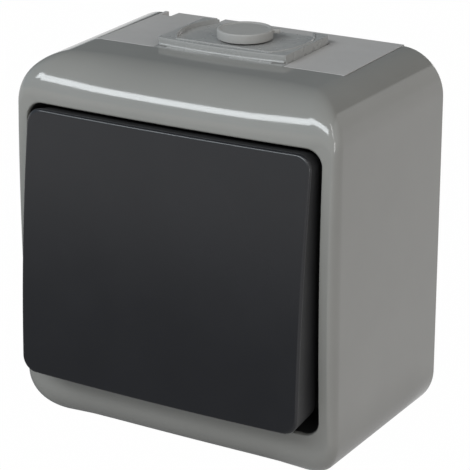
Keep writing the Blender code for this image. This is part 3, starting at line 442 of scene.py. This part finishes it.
def turned(name, profile, centre, look, steps=96):
    """A turned piece about an upright axis from (radius, height) points."""
    bm = bmesh.new()
    loops = []
    for radius, height in profile:
        if radius == 0:
            loops.append([bm.verts.new((centre[0], centre[1], height))])
            continue
        loops.append(
            [
                bm.verts.new(
                    (
                        centre[0] + radius * math.cos(2 * math.pi * i / steps),
                        centre[1] + radius * math.sin(2 * math.pi * i / steps),
                        height,
                    )
                )
                for i in range(steps)
            ]
        )
    for first, second in zip(loops, loops[1:]):
        for i in range(steps):
            j = (i + 1) % steps
            if len(first) == 1:
                bm.faces.new((first[0], second[i], second[j]))
            elif len(second) == 1:
                bm.faces.new((first[i], first[j], second[0]))
            else:
                bm.faces.new((first[i], first[j], second[j], second[i]))
    bmesh.ops.recalc_face_normals(bm, faces=bm.faces)
    return add_mesh(name, bm, look)


def stand_for(obj, node, body):
    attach(obj, body)
    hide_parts(node)


# Hood

def hood_outer_rings():
    half_width = WIDTH / 2
    half_height = HEIGHT / 2
    rings = []
    for step in range(5):
        angle = math.radians(90 * step / 4)
        inset = HOOD_BACK_EDGE * (1 - math.sin(angle))
        depth = HOOD_BACK_GAP + HOOD_BACK_EDGE * (1 - math.cos(angle))
        rings.append(ring(half_width - inset, half_height - inset, CORNER_RADIUS - inset, depth))
    side_start = DEPTH - SIDE_EDGE_DEPTH
    top_start = DEPTH - TOP_ROLL_DEPTH
    for share in (0.25, 0.5, 0.75):
        width = half_width - SIDE_TAPER * share
        rings.append(ring(width, half_height, CORNER_RADIUS, side_start * share, top_start * share))
    for step in range(ROLL_STEPS + 1):
        angle = math.radians(90 * step / ROLL_STEPS)
        side_inset = SIDE_TAPER + SIDE_EDGE_INSET * (1 - math.cos(angle))
        top_inset = TOP_ROLL_INSET * (1 - math.cos(angle))
        rings.append(
            ring(
                half_width - side_inset,
                half_height - top_inset,
                CORNER_RADIUS - (CORNER_RADIUS - LIP_RADIUS) * (1 - math.cos(angle)),
                DEPTH - SIDE_EDGE_DEPTH * (1 - math.sin(angle)),
                DEPTH - TOP_ROLL_DEPTH * (1 - math.sin(angle)),
                crown=FACE_CROWN * math.sin(angle),
            )
        )
    return rings


def hood_window_rings():
    half_width = WINDOW_WIDTH / 2
    half_height = WINDOW_HEIGHT / 2
    lip = {"radius": WINDOW_RADIUS, "rise": WINDOW_RISE, "crown": FACE_CROWN}
    rings = []
    for step in range(6):
        angle = math.radians(90 * step / 5)
        inset = WINDOW_EDGE * (1 - math.sin(angle))
        depth = DEPTH - WINDOW_EDGE * (1 - math.cos(angle))
        rings.append(ring(half_width + inset / 2, half_height + inset, side_depth=depth, **lip))
    well_height = DEPTH - WINDOW_EDGE - FLOOR_FRONT
    for share in ((WELL_SHADE_DEPTH - WINDOW_EDGE) / well_height, 0.5, 0.9):
        depth = FLOOR_FRONT + well_height * (1 - share)
        inset = WELL_DRAFT * share
        rings.append(ring(half_width - inset, half_height - inset, WINDOW_RADIUS, depth, rise=WINDOW_RISE))
    for step in range(5):
        angle = math.radians(90 * step / 4)
        inset = WELL_DRAFT + WELL_FOOT * (1 - math.cos(angle))
        depth = FLOOR_FRONT + WELL_FOOT * (1 - math.sin(angle))
        rings.append(ring(half_width - inset, half_height - inset, WINDOW_RADIUS, depth, rise=WINDOW_RISE))
    half_opening = FLOOR_OPENING / 2
    for depth in (FLOOR_FRONT, FLOOR_BACK):
        rings.append(ring(half_opening, half_opening, WINDOW_RADIUS, depth, rise=PIVOT_RISE))
    return rings


def hood_inner_rings():
    well = (WINDOW_WIDTH / 2 - WELL_DRAFT + WELL_WALL, WINDOW_HEIGHT / 2 - WELL_DRAFT + WELL_WALL)
    inner = (WIDTH / 2 - HOOD_WALL, HEIGHT / 2 - HOOD_WALL)
    well_radius = WINDOW_RADIUS + WELL_WALL
    inner_radius = CORNER_RADIUS - HOOD_WALL
    end = (CAVITY_SIDE_DEPTH, DEPTH - LIP_THICKNESS)
    return [
        ring(*well, well_radius, FLOOR_BACK, rise=WINDOW_RISE),
        ring(well[0] + WELL_LEAN, well[1] + WELL_LEAN, well_radius, *end, rise=WINDOW_RISE),
        ring(inner[0], inner[1] - CAVITY_LEAN, inner_radius, *end),
        ring(*inner, inner_radius, DEPTH - TOP_ROLL_DEPTH - CLEARANCE),
        ring(*inner, inner_radius, HOOD_BACK_GAP),
    ]


def make_hood():
    rings = hood_outer_rings() + hood_window_rings() + hood_inner_rings()
    hood = loft("hood_shell", rings, HOOD, around=True)
    # The well's walls behind the lip get the black rubber colour, a painted shade for the gap round the
    # rocker
    hood.data.materials.append(RUBBER_AND_WELL_SHADE)
    for face in hood.data.polygons:
        x, y, z = face.center
        inside = abs(x) < WINDOW_WIDTH / 2 and abs(z - WINDOW_RISE) < WINDOW_HEIGHT / 2
        if inside and -DEPTH + WELL_SHADE_DEPTH < y < -FLOOR_BACK - CLEARANCE:
            face.material_index = 1
    half = PANEL_HALF_WIDTH + CLEARANCE
    top = (HEIGHT / 2 - 2 * HOOD_WALL, HEIGHT / 2 + HOOD_WALL)
    front = -PANEL_DEPTH - CLEARANCE
    outline = [(half, HOOD_WALL), (-half, HOOD_WALL)]
    for sign, start in ((-1, 180), (1, 270)):
        for step in range(7):
            angle = math.radians(start + 90 * step / 6)
            x = sign * (half - SLOT_RADIUS) + SLOT_RADIUS * math.cos(angle)
            outline.append((x, front + SLOT_RADIUS + SLOT_RADIUS * math.sin(angle)))
    boolean(hood, slab("hood_slot_cutter", outline, *top, HOOD))
    for side in (-1, 1):
        x = side * COVER_SCREW_PLACE
        hole = tube(
            "hood_hole_cutter",
            COVER_HOLE_RADIUS,
            (x, -FLOOR_BACK + HOOD_WALL, PIVOT_RISE),
            (x, -FLOOR_FRONT - HOOD_WALL, PIVOT_RISE),
            HOOD,
        )
        boolean(hood, hole)
    smooth(hood)
    bevel(hood, HOOD_BEVEL)
    stand_for(hood, "hood", "housing")


# Rocker

def rocker_crown(x, z):
    return 2.0 - (x / (ROCKER_WIDTH / 2)) ** 2 - (z / (ROCKER_HEIGHT / 2)) ** 2


def rocker_face_ring(share, drop):
    half_width = (ROCKER_WIDTH / 2 - ROCKER_EDGE) * share
    half_height = (ROCKER_HEIGHT / 2 - ROCKER_EDGE) * share
    points = []
    for x, z in rounded_outline(half_width, half_height, ROCKER_RADIUS * share):
        points.append((x, -(ROCKER_REACH - drop + ROCKER_CROWN * rocker_crown(x, z)), z))
    return points


def rocker_side_ring(inset, depth, crown):
    points = []
    for x, z in rounded_outline(ROCKER_WIDTH / 2 - inset, ROCKER_HEIGHT / 2 - inset, ROCKER_RADIUS):
        points.append((x, -(depth + crown * rocker_crown(x, z)), z))
    return points


def make_rocker():
    rim = ROCKER_REACH - ROCKER_SKIRT
    rings = [rocker_face_ring(share, ROCKER_WALL) for share in (0.02, 0.3, 0.6, 0.94)]
    rings.append(rocker_side_ring(ROCKER_WALL + ROCKER_DRAFT, rim, 0.0))
    rings.append(rocker_side_ring(ROCKER_DRAFT, rim, 0.0))
    for step in range(9):
        angle = math.radians(90 * step / 9)
        inset = ROCKER_EDGE * (1 - math.cos(angle))
        depth = ROCKER_REACH - ROCKER_EDGE * (1 - math.sin(angle))
        rings.append(rocker_side_ring(inset, depth, ROCKER_CROWN))
    rings += [rocker_face_ring(share / 10, 0.0) for share in (10, 9.6, 9, 8, 7, 6, 5, 4, 3, 2, 1, 0.2)]
    rocker = loft("rocker_key", rings, ROCKER)
    root = -(ROCKER_REACH + ROCKER_CROWN / 2)
    rib_end = -(ROCKER_REACH - ROCKER_WALL - RIB_DEPTH)
    rib_half = ROCKER_HEIGHT / 2 - ROCKER_WALL
    leg_half = LEG_WIDTH / 2
    for side in (-1, 1):
        leg_z = (side * LEG_PLACE - LEG_THICKNESS / 2, side * LEG_PLACE + LEG_THICKNESS / 2)
        leg = box("rocker_leg_tool", (-leg_half, leg_half), (root, LEG_END), leg_z, ROCKER)
        boolean(rocker, leg, "UNION")
        rib_x = (side * RIB_PLACE - RIB_THICKNESS / 2, side * RIB_PLACE + RIB_THICKNESS / 2)
        rib = box("rocker_rib_tool", rib_x, (root, rib_end), (-rib_half, rib_half), ROCKER)
        boolean(rocker, rib, "UNION")
    place = Matrix.Translation((0.0, -PIVOT_DEPTH, PIVOT_RISE)) @ Matrix.Rotation(-ROCKER_TILT, 4, "X")
    # Faces along the rocker's sides get the lighter copy of its plastic, a painted light
    rocker.data.materials.append(ROCKER_PAINTED_LIGHT_SIDE)
    for face in rocker.data.polygons:
        if abs(face.normal.y) < ROCKER_SIDE_LEAN:
            face.material_index = 1
    rocker.data.transform(place)
    smooth(rocker)
    bevel(rocker, ROCKER_BEVEL, 2)
    stand_for(rocker, "rocker", "key")


# Cable entry

def entry_outline(half, back, front, bow):
    points = []
    for sign, start in ((1, 0), (-1, 90)):
        for step in range(5):
            angle = math.radians(start + 90 * step / 4)
            x = sign * (half - ENTRY_CORNER) + ENTRY_CORNER * math.cos(angle)
            points.append((x, -back - ENTRY_CORNER + ENTRY_CORNER * math.sin(angle)))
    steps = 24
    for step in range(steps + 1):
        x = half * (2 * step / steps - 1)
        points.append((x, -front - bow * (1 - (x / half) ** 2)))
    return points


def dish_outline(margin=0.0):
    radius = DISH_RADIUS + margin
    limit = ENTRY_FRONT - DISH_RIM - ENTRY_PLACE + margin
    start = -math.asin(limit / radius)
    sweep = math.pi - 2 * start
    angles = [start + sweep * step / 96 for step in range(97)]
    return [(radius * math.cos(a), -ENTRY_PLACE + radius * math.sin(a)) for a in angles]


def make_entry_plate():
    top = PANEL_TOP + ENTRY_RISE
    seat = PANEL_TOP - ENTRY_SEAT + CLEARANCE
    half = ENTRY_WIDTH / 2
    rings = []
    heights = ((seat, ENTRY_UNDERCUT), (PANEL_TOP, ENTRY_UNDERCUT), (top - CLEARANCE, 0.0), (top, 0.0))
    for height, inset in heights:
        outline = entry_outline(half, ENTRY_BACK, ENTRY_FRONT - inset, ENTRY_BOW)
        rings.append([(x, y, height) for x, y in outline])
    plate = loft("entry_cover", rings, PLATE)
    flange_top = PANEL_TOP - PANEL_THICKNESS - CLEARANCE
    neck_half = ENTRY_NECK_WIDTH / 2
    neck_y = (-PANEL_DEPTH + CLEARANCE, -ENTRY_BACK - ENTRY_SEAT - CLEARANCE)
    neck_z = (flange_top - MM / 2, seat + MM / 2)
    neck = box("entry_neck_tool", (-neck_half, neck_half), neck_y, neck_z, PLATE)
    flange_half = neck_half + ENTRY_FLANGE_MARGIN
    flange_z = (flange_top - FLANGE_THICKNESS, flange_top)
    flange = box("entry_flange_tool", (-flange_half, flange_half), neck_y, flange_z, PLATE)
    boolean(plate, neck, "UNION")
    boolean(plate, flange, "UNION")
    bead = []
    for step in range(33):
        x = (half - ENTRY_BEAD) * (step / 16 - 1)
        y = -ENTRY_FRONT + ENTRY_UNDERCUT - ENTRY_BEAD - ENTRY_BOW * (1 - (x / half) ** 2)
        turns = [2 * math.pi * turn / 16 for turn in range(16)]
        height = PANEL_TOP + ENTRY_BEAD
        bead.append([(x, y - ENTRY_BEAD * math.cos(a), height + ENTRY_BEAD * math.sin(a)) for a in turns])
    boolean(plate, loft("entry_bead_tool", bead, PLATE), "UNION")
    sill = entry_outline(half + CLEARANCE / 2, ENTRY_BACK + MM, PANEL_DEPTH + CLEARANCE, 0.0)
    boolean(plate, slab("entry_sill_tool", sill, seat, PANEL_TOP, PLATE), "UNION")
    line = slab("entry_line_tool", dish_outline(DISH_LINE), top - CLEARANCE, top + DISH_LINE_RISE, PLATE)
    behind = (-ENTRY_BACK - DISH_LINE, 0.0)
    boolean(line, box("entry_line_cutter", (-ENTRY_WIDTH, ENTRY_WIDTH), behind, (seat, 2 * top), PLATE))
    boolean(plate, line, "UNION")
    boolean(plate, slab("entry_dish_cutter", dish_outline(), top - DISH_DEPTH, top + DISH_DEPTH, PLATE))
    hole = tube(
        "entry_hole_cutter",
        CAP_STEM_RADIUS + CLEARANCE,
        (0.0, -ENTRY_PLACE, flange_top - 2 * FLANGE_THICKNESS),
        (0.0, -ENTRY_PLACE, top + DISH_DEPTH),
        PLATE,
        steps=64,
    )
    boolean(plate, hole)
    smooth(plate)
    bevel(plate, PLATE_BEVEL)
    stand_for(plate, "entry_plate", "housing")


def arc(centre, radius, start, end, steps):
    """Points on part of a circle in the plane of a turned profile, angles in degrees."""
    points = []
    for step in range(steps + 1):
        angle = math.radians(start + (end - start) * step / steps)
        points.append((centre[0] + radius * math.cos(angle), centre[1] + radius * math.sin(angle)))
    return points


def make_membrane():
    base = PANEL_TOP + ENTRY_RISE - DISH_DEPTH + CLEARANCE
    top = base + CAP_HEIGHT
    low = PANEL_TOP - PANEL_THICKNESS - FLANGE_THICKNESS - 2 * CLEARANCE
    bottom = low - CAP_FLANGE_THICKNESS
    bore = CAP_STEM_RADIUS - MEMBRANE_SKIN
    recess = top - CAP_RECESS
    rim = CAP_RADIUS - CAP_RIM
    profile = [(0.0, recess), (rim - 5 * CAP_RECESS_RADIUS, recess)]
    profile += arc((rim - 3 * CAP_RECESS_RADIUS, recess + CAP_RECESS_RADIUS), CAP_RECESS_RADIUS, 270, 360, 3)
    profile += arc((rim + CAP_RECESS_RADIUS, top - CAP_RIM_RADIUS), CAP_RIM_RADIUS, 150, 90, 4)
    profile += arc((CAP_RADIUS - CAP_EDGE, top - CAP_EDGE), CAP_EDGE, 90, 0, 8)
    profile += arc((CAP_RADIUS - CAP_RIM_RADIUS, base + CAP_RIM_RADIUS), CAP_RIM_RADIUS, 0, -90, 3)
    profile += [
        (CAP_STEM_RADIUS, base),
        (CAP_STEM_RADIUS, low),
        (CAP_FLANGE_RADIUS, low),
        (CAP_FLANGE_RADIUS, bottom),
        (bore, bottom),
        (bore, top - MEMBRANE_SKIN),
        (0.0, top - MEMBRANE_SKIN),
    ]
    cap = turned("membrane_cap", profile, (0.0, -ENTRY_PLACE), CAP)
    nib = slab(
        "cap_nib_tool",
        rounded_outline(NIB_LENGTH, NIB_WIDTH / 2, NIB_RADIUS, 5, 2),
        top - CAP_HEIGHT / 2,
        top - CAP_EDGE / 2,
        CAP,
    )
    nib.data.transform(
        Matrix.Translation((0.0, -ENTRY_PLACE, 0.0))
        @ Matrix.Rotation(NIB_ANGLE, 4, "Z")
        @ Matrix.Translation((CAP_RADIUS, 0.0, 0.0))
    )
    boolean(cap, nib, "UNION")
    smooth(cap, 50)
    bevel(cap, CAP_BEVEL, 2, 55)
    stand_for(cap, "entry_membrane", "housing")


# Carried-over nodes

def shade_smooth_group():
    group = bpy.data.node_groups.new("shade_smooth", "GeometryNodeTree")
    for way in ("INPUT", "OUTPUT"):
        group.interface.new_socket("Geometry", in_out=way, socket_type="NodeSocketGeometry")
    first = group.nodes.new("NodeGroupInput")
    middle = group.nodes.new("GeometryNodeSetShadeSmooth")
    last = group.nodes.new("NodeGroupOutput")
    group.links.new(first.outputs[0], middle.inputs["Geometry"])
    group.links.new(middle.outputs["Geometry"], last.inputs[0])
    return group


SHADE_SMOOTH = shade_smooth_group()

# Points nearer than this are joined, and faces that bend less than this become one
WELD_DISTANCE = 0.000002
FLAT_ANGLE = math.radians(0.6)


def dress(node, look, width, segments=2, angle=38.0):
    """Give a CAD node its material, and round its sharp edges with modifiers."""
    obj = NODES[node]
    obj.data.materials.clear()
    obj.data.materials.append(look)
    shade = obj.modifiers.new("shade", "NODES")
    shade.node_group = SHADE_SMOOTH
    weld = obj.modifiers.new("weld", "WELD")
    weld.merge_threshold = WELD_DISTANCE
    flat = obj.modifiers.new("planes", "DECIMATE")
    flat.decimate_type = "DISSOLVE"
    flat.angle_limit = FLAT_ANGLE
    flat.delimit = set()
    bevel(obj, width, segments, angle)


def dress_inner_nodes():
    dress("back_box", BOX, 0.2 * MM, 3)
    dress("mechanism_gasket", RUBBER_AND_WELL_SHADE, 0.2 * MM)
    for node in ("mechanism_plate", "mechanism_body", "cradle"):
        dress(node, CREAM, 0.15 * MM)
    dress("plunger", CREAM, 0.1 * MM, 2, 50)
    for node in ("moving_contact", "upper_contact", "lower_contact", "common_strap"):
        dress(node, COPPER, 0.1 * MM)
    for node in ("upper_block", "lower_block", "common_block"):
        dress(node, BRASS, 0.15 * MM)
    screws = [name for name in NODES if name.endswith("_screw") or "_screw_" in name]
    for node in screws:
        dress(node, STEEL, 0.08 * MM, 2, 50)
    dress("contact_spring", STEEL, 0.05 * MM, 1, 80)


# Stage: sizes and places in metres

FLOOR_HALF = 4.0
FLOOR_PAPER = 0.25
FLOOR_PAPER_MIRRORED = 0.2

# The share of plain white in the floor that the camera sees, where only the rest shows a shadow, and
# the share of it that lights the object from below
FLOOR_WHITE = 0.995
FLOOR_GLOW = 0.4

# In reflections the floor is dim near the object's front left, up to these distances and edges
FLOOR_DIM = 0.08
FLOOR_DIM_PLACE = (-0.03, -0.07, 0.0)
FLOOR_DIM_REACH = (0.06, 0.45)
FLOOR_DIM_RIGHT = (0.015, 0.05)
FLOOR_DIM_BACK = (-0.03, 0.02)

# The studio's brightness to the left, the right and above, and where it fades upwards and backwards
WORLD_LEFT = 0.6
WORLD_RIGHT = 1.2
WORLD_ACROSS = (-0.6, 0.6)
WORLD_TOP = 0.12
WORLD_UPWARD = (0.35, 0.95)
WORLD_FRONT = (0.10, 0.45)

# The least brightness anywhere, and the height where reflections stop showing the white backdrop
WORLD_DIM = 0.09
WORLD_HORIZON = (0.08, 0.14)

# A bright wall low on the right, under a slanting edge
WORLD_WALL = 0.9
WORLD_WALL_SLOPE = 1.263
WORLD_WALL_EDGE = (-0.02, 0.02)

# The studio's tint on the left and on the right
WORLD_COOL = (0.82, 0.99, 1.14, 1.0)
WORLD_PLAIN = (1.0, 1.0, 0.99, 1.0)
WORLD_TINT = (-0.5, 0.3)

# Lamps: azimuth from the front to the right, elevation, width and height, power in watts and colour
LAMPS = {
    "soft_box_front": (-20.0, 37.0, (0.90, 0.20), 6.1, (0.95, 1.0, 1.03)),
    "strip_right": (40.0, 40.0, (0.05, 0.42), 0.5, (1.0, 1.0, 1.0)),
    "fill_right": (48.0, 8.0, (0.12, 0.24), 0.6, (1.0, 1.0, 1.0)),
    "fill_back": (176.0, 10.0, (0.25, 0.18), 0.9, (1.0, 1.0, 1.0)),
}
LAMP_DISTANCE = 0.8
LAMP_TARGET = (0.0, -0.03, 0.02)

# Camera: its direction from the target as the lamps', its roll, distance and lens in mm, and the
# target's shift to the right and up in the picture
CAMERA_AZIMUTH = math.radians(30.189)
CAMERA_ELEVATION = math.radians(20.321)
CAMERA_ROLL = math.radians(-0.155)
CAMERA_DISTANCE = 0.3799
CAMERA_LENS = 154.57
CAMERA_TARGET = (0.0, -0.028, 0.0)
CAMERA_SHIFT = (5.047 * MM, 2.506 * MM)


def link_maximum(nodes, links, *values):
    """The largest of several values."""
    total = values[0]
    for value in values[1:]:
        larger = nodes.new("ShaderNodeMath")
        larger.operation = "MAXIMUM"
        links.new(total, larger.inputs[0])
        links.new(value, larger.inputs[1])
        total = larger.outputs[0]
    return total


def link_product(nodes, links, first, second):
    """Two values multiplied, where either may be a plain number."""
    product = nodes.new("ShaderNodeMath")
    product.operation = "MULTIPLY"
    for socket, value in zip(product.inputs, (first, second)):
        if isinstance(value, float):
            socket.default_value = value
        else:
            links.new(value, socket)
    return product.outputs[0]


def make_floor():
    """A wide pale floor, white to the camera, dim in some reflections and open to a view from below."""
    bm = bmesh.new()
    bmesh.ops.create_grid(bm, x_segments=1, y_segments=1, size=FLOOR_HALF)
    made = bpy.data.materials.new("studio_floor")
    made.use_nodes = True
    nodes = made.node_tree.nodes
    links = made.node_tree.links
    nodes.clear()
    out = nodes.new("ShaderNodeOutputMaterial")
    white = nodes.new("ShaderNodeEmission")
    white.inputs["Color"].default_value = (1.0, 1.0, 1.0, 1.0)
    paper = nodes.new("ShaderNodeBsdfDiffuse")
    path = nodes.new("ShaderNodeLightPath")
    mirrored = path.outputs["Is Glossy Ray"]
    tone = spread(nodes, links, mirrored, FLOOR_PAPER, FLOOR_PAPER_MIRRORED, 0.0, 1.0)
    links.new(tone, paper.inputs["Color"])
    place = nodes.new("ShaderNodeTexCoord")
    apart = nodes.new("ShaderNodeVectorMath")
    apart.operation = "DISTANCE"
    apart.inputs[1].default_value = FLOOR_DIM_PLACE
    links.new(place.outputs["Object"], apart.inputs[0])
    along = nodes.new("ShaderNodeSeparateXYZ")
    links.new(place.outputs["Object"], along.inputs[0])
    away = link_maximum(
        nodes,
        links,
        spread(nodes, links, apart.outputs["Value"], FLOOR_DIM, 1.0, *FLOOR_DIM_REACH),
        spread(nodes, links, along.outputs["X"], 0.0, 1.0, *FLOOR_DIM_RIGHT),
        spread(nodes, links, along.outputs["Y"], 0.0, 1.0, *FLOOR_DIM_BACK),
    )
    dimmed = link_product(nodes, links, mirrored, away)
    glow = link_product(nodes, links, path.outputs["Is Diffuse Ray"], FLOOR_GLOW)
    shown = link_maximum(
        nodes, links, path.outputs["Is Camera Ray"], path.outputs["Is Transmission Ray"], dimmed, glow
    )
    mix = nodes.new("ShaderNodeMixShader")
    links.new(link_product(nodes, links, shown, FLOOR_WHITE), mix.inputs["Fac"])
    links.new(paper.outputs["BSDF"], mix.inputs[1])
    links.new(white.outputs["Emission"], mix.inputs[2])
    below = nodes.new("ShaderNodeNewGeometry")
    clear = nodes.new("ShaderNodeBsdfTransparent")
    open_below = nodes.new("ShaderNodeMixShader")
    links.new(below.outputs["Backfacing"], open_below.inputs["Fac"])
    links.new(mix.outputs["Shader"], open_below.inputs[1])
    links.new(clear.outputs["BSDF"], open_below.inputs[2])
    links.new(open_below.outputs["Shader"], out.inputs["Surface"])
    floor = add_mesh("studio_floor", bm, made)
    floor.location = (0.0, 0.0, CAD_BOX[0].z - CLEARANCE)


def make_world():
    """A studio that is bright in front and low on the right, dim behind and above."""
    world = bpy.data.worlds.new("studio")
    bpy.context.scene.world = world
    world.use_nodes = True
    nodes = world.node_tree.nodes
    links = world.node_tree.links
    shade = nodes["Background"]
    place = nodes.new("ShaderNodeTexCoord")
    way = nodes.new("ShaderNodeSeparateXYZ")
    links.new(place.outputs["Generated"], way.inputs[0])
    x, y, z = (way.outputs[axis] for axis in "XYZ")
    across = spread(nodes, links, x, WORLD_LEFT, WORLD_RIGHT, *WORLD_ACROSS)
    upward = spread(nodes, links, z, 1.0, WORLD_TOP, *WORLD_UPWARD)
    front = spread(nodes, links, y, 1.0, 0.0, *WORLD_FRONT)
    bright = link_product(nodes, links, link_product(nodes, links, across, upward), front)
    slope = nodes.new("ShaderNodeMath")
    slope.operation = "MULTIPLY_ADD"
    links.new(x, slope.inputs[0])
    slope.inputs[1].default_value = -WORLD_WALL_SLOPE
    links.new(z, slope.inputs[2])
    wall = spread(nodes, links, slope.outputs[0], WORLD_WALL, 0.0, *WORLD_WALL_EDGE)
    dim = nodes.new("ShaderNodeValue")
    dim.outputs[0].default_value = WORLD_DIM
    horizon = spread(nodes, links, z, 1.0, 0.0, *WORLD_HORIZON)
    path = nodes.new("ShaderNodeLightPath")
    mirrored = link_product(nodes, links, path.outputs["Is Glossy Ray"], horizon)
    seen = link_maximum(
        nodes, links, path.outputs["Is Camera Ray"], path.outputs["Is Transmission Ray"], mirrored
    )
    level = link_maximum(nodes, links, bright, wall, dim.outputs[0])
    mix = nodes.new("ShaderNodeMix")
    mix.data_type = "FLOAT"
    links.new(seen, mix.inputs["Factor"])
    links.new(level, mix.inputs["A"])
    mix.inputs["B"].default_value = 1.0
    links.new(mix.outputs["Result"], shade.inputs["Strength"])
    tint = nodes.new("ShaderNodeMix")
    tint.data_type = "RGBA"
    links.new(spread(nodes, links, x, 0.0, 1.0, *WORLD_TINT), tint.inputs["Factor"])
    tint.inputs["A"].default_value = WORLD_COOL
    tint.inputs["B"].default_value = WORLD_PLAIN
    paint = nodes.new("ShaderNodeMix")
    paint.data_type = "RGBA"
    links.new(seen, paint.inputs["Factor"])
    links.new(tint.outputs["Result"], paint.inputs["A"])
    paint.inputs["B"].default_value = (1.0, 1.0, 1.0, 1.0)
    links.new(paint.outputs["Result"], shade.inputs["Color"])


def view_direction(azimuth, elevation):
    """The direction from the object at an azimuth from the front to the right, in radians."""
    level = math.cos(elevation)
    return Vector((math.sin(azimuth) * level, -math.cos(azimuth) * level, math.sin(elevation)))


def make_lamps():
    for name, (azimuth, elevation, size, power, colour) in LAMPS.items():
        lamp = bpy.data.lights.new(name, "AREA")
        lamp.shape = "RECTANGLE"
        lamp.size = size[0]
        lamp.size_y = size[1]
        lamp.energy = power
        lamp.color = colour
        obj = bpy.data.objects.new(name, lamp)
        bpy.context.scene.collection.objects.link(obj)
        away = view_direction(math.radians(azimuth), math.radians(elevation))
        obj.location = Vector(LAMP_TARGET) + away * LAMP_DISTANCE
        obj.rotation_euler = (-away).to_track_quat("-Z", "Y").to_euler()


def make_camera():
    back = view_direction(CAMERA_AZIMUTH, CAMERA_ELEVATION)
    right = (-back).cross(Vector((0, 0, 1))).normalized()
    up = right.cross(-back)
    target = Vector(CAMERA_TARGET) + right * CAMERA_SHIFT[0] + up * CAMERA_SHIFT[1]
    axis_x = right * math.cos(CAMERA_ROLL) + up * math.sin(CAMERA_ROLL)
    axis_y = -right * math.sin(CAMERA_ROLL) + up * math.cos(CAMERA_ROLL)
    turn = Matrix((axis_x, axis_y, back)).transposed()
    camera = bpy.data.objects.new("camera", bpy.data.cameras.new("camera"))
    bpy.context.scene.collection.objects.link(camera)
    camera.matrix_world = Matrix.Translation(target + back * CAMERA_DISTANCE) @ turn.to_4x4()
    camera.data.lens = CAMERA_LENS
    camera.data.sensor_width = 36.0
    camera.data.clip_start = 0.01
    camera.data.clip_end = 20.0
    bpy.context.scene.camera = camera


make_hood()
make_rocker()
make_entry_plate()
make_membrane()
dress_inner_nodes()
make_floor()
make_world()
make_lamps()
make_camera()
bpy.context.scene.view_settings.view_transform = "Standard"
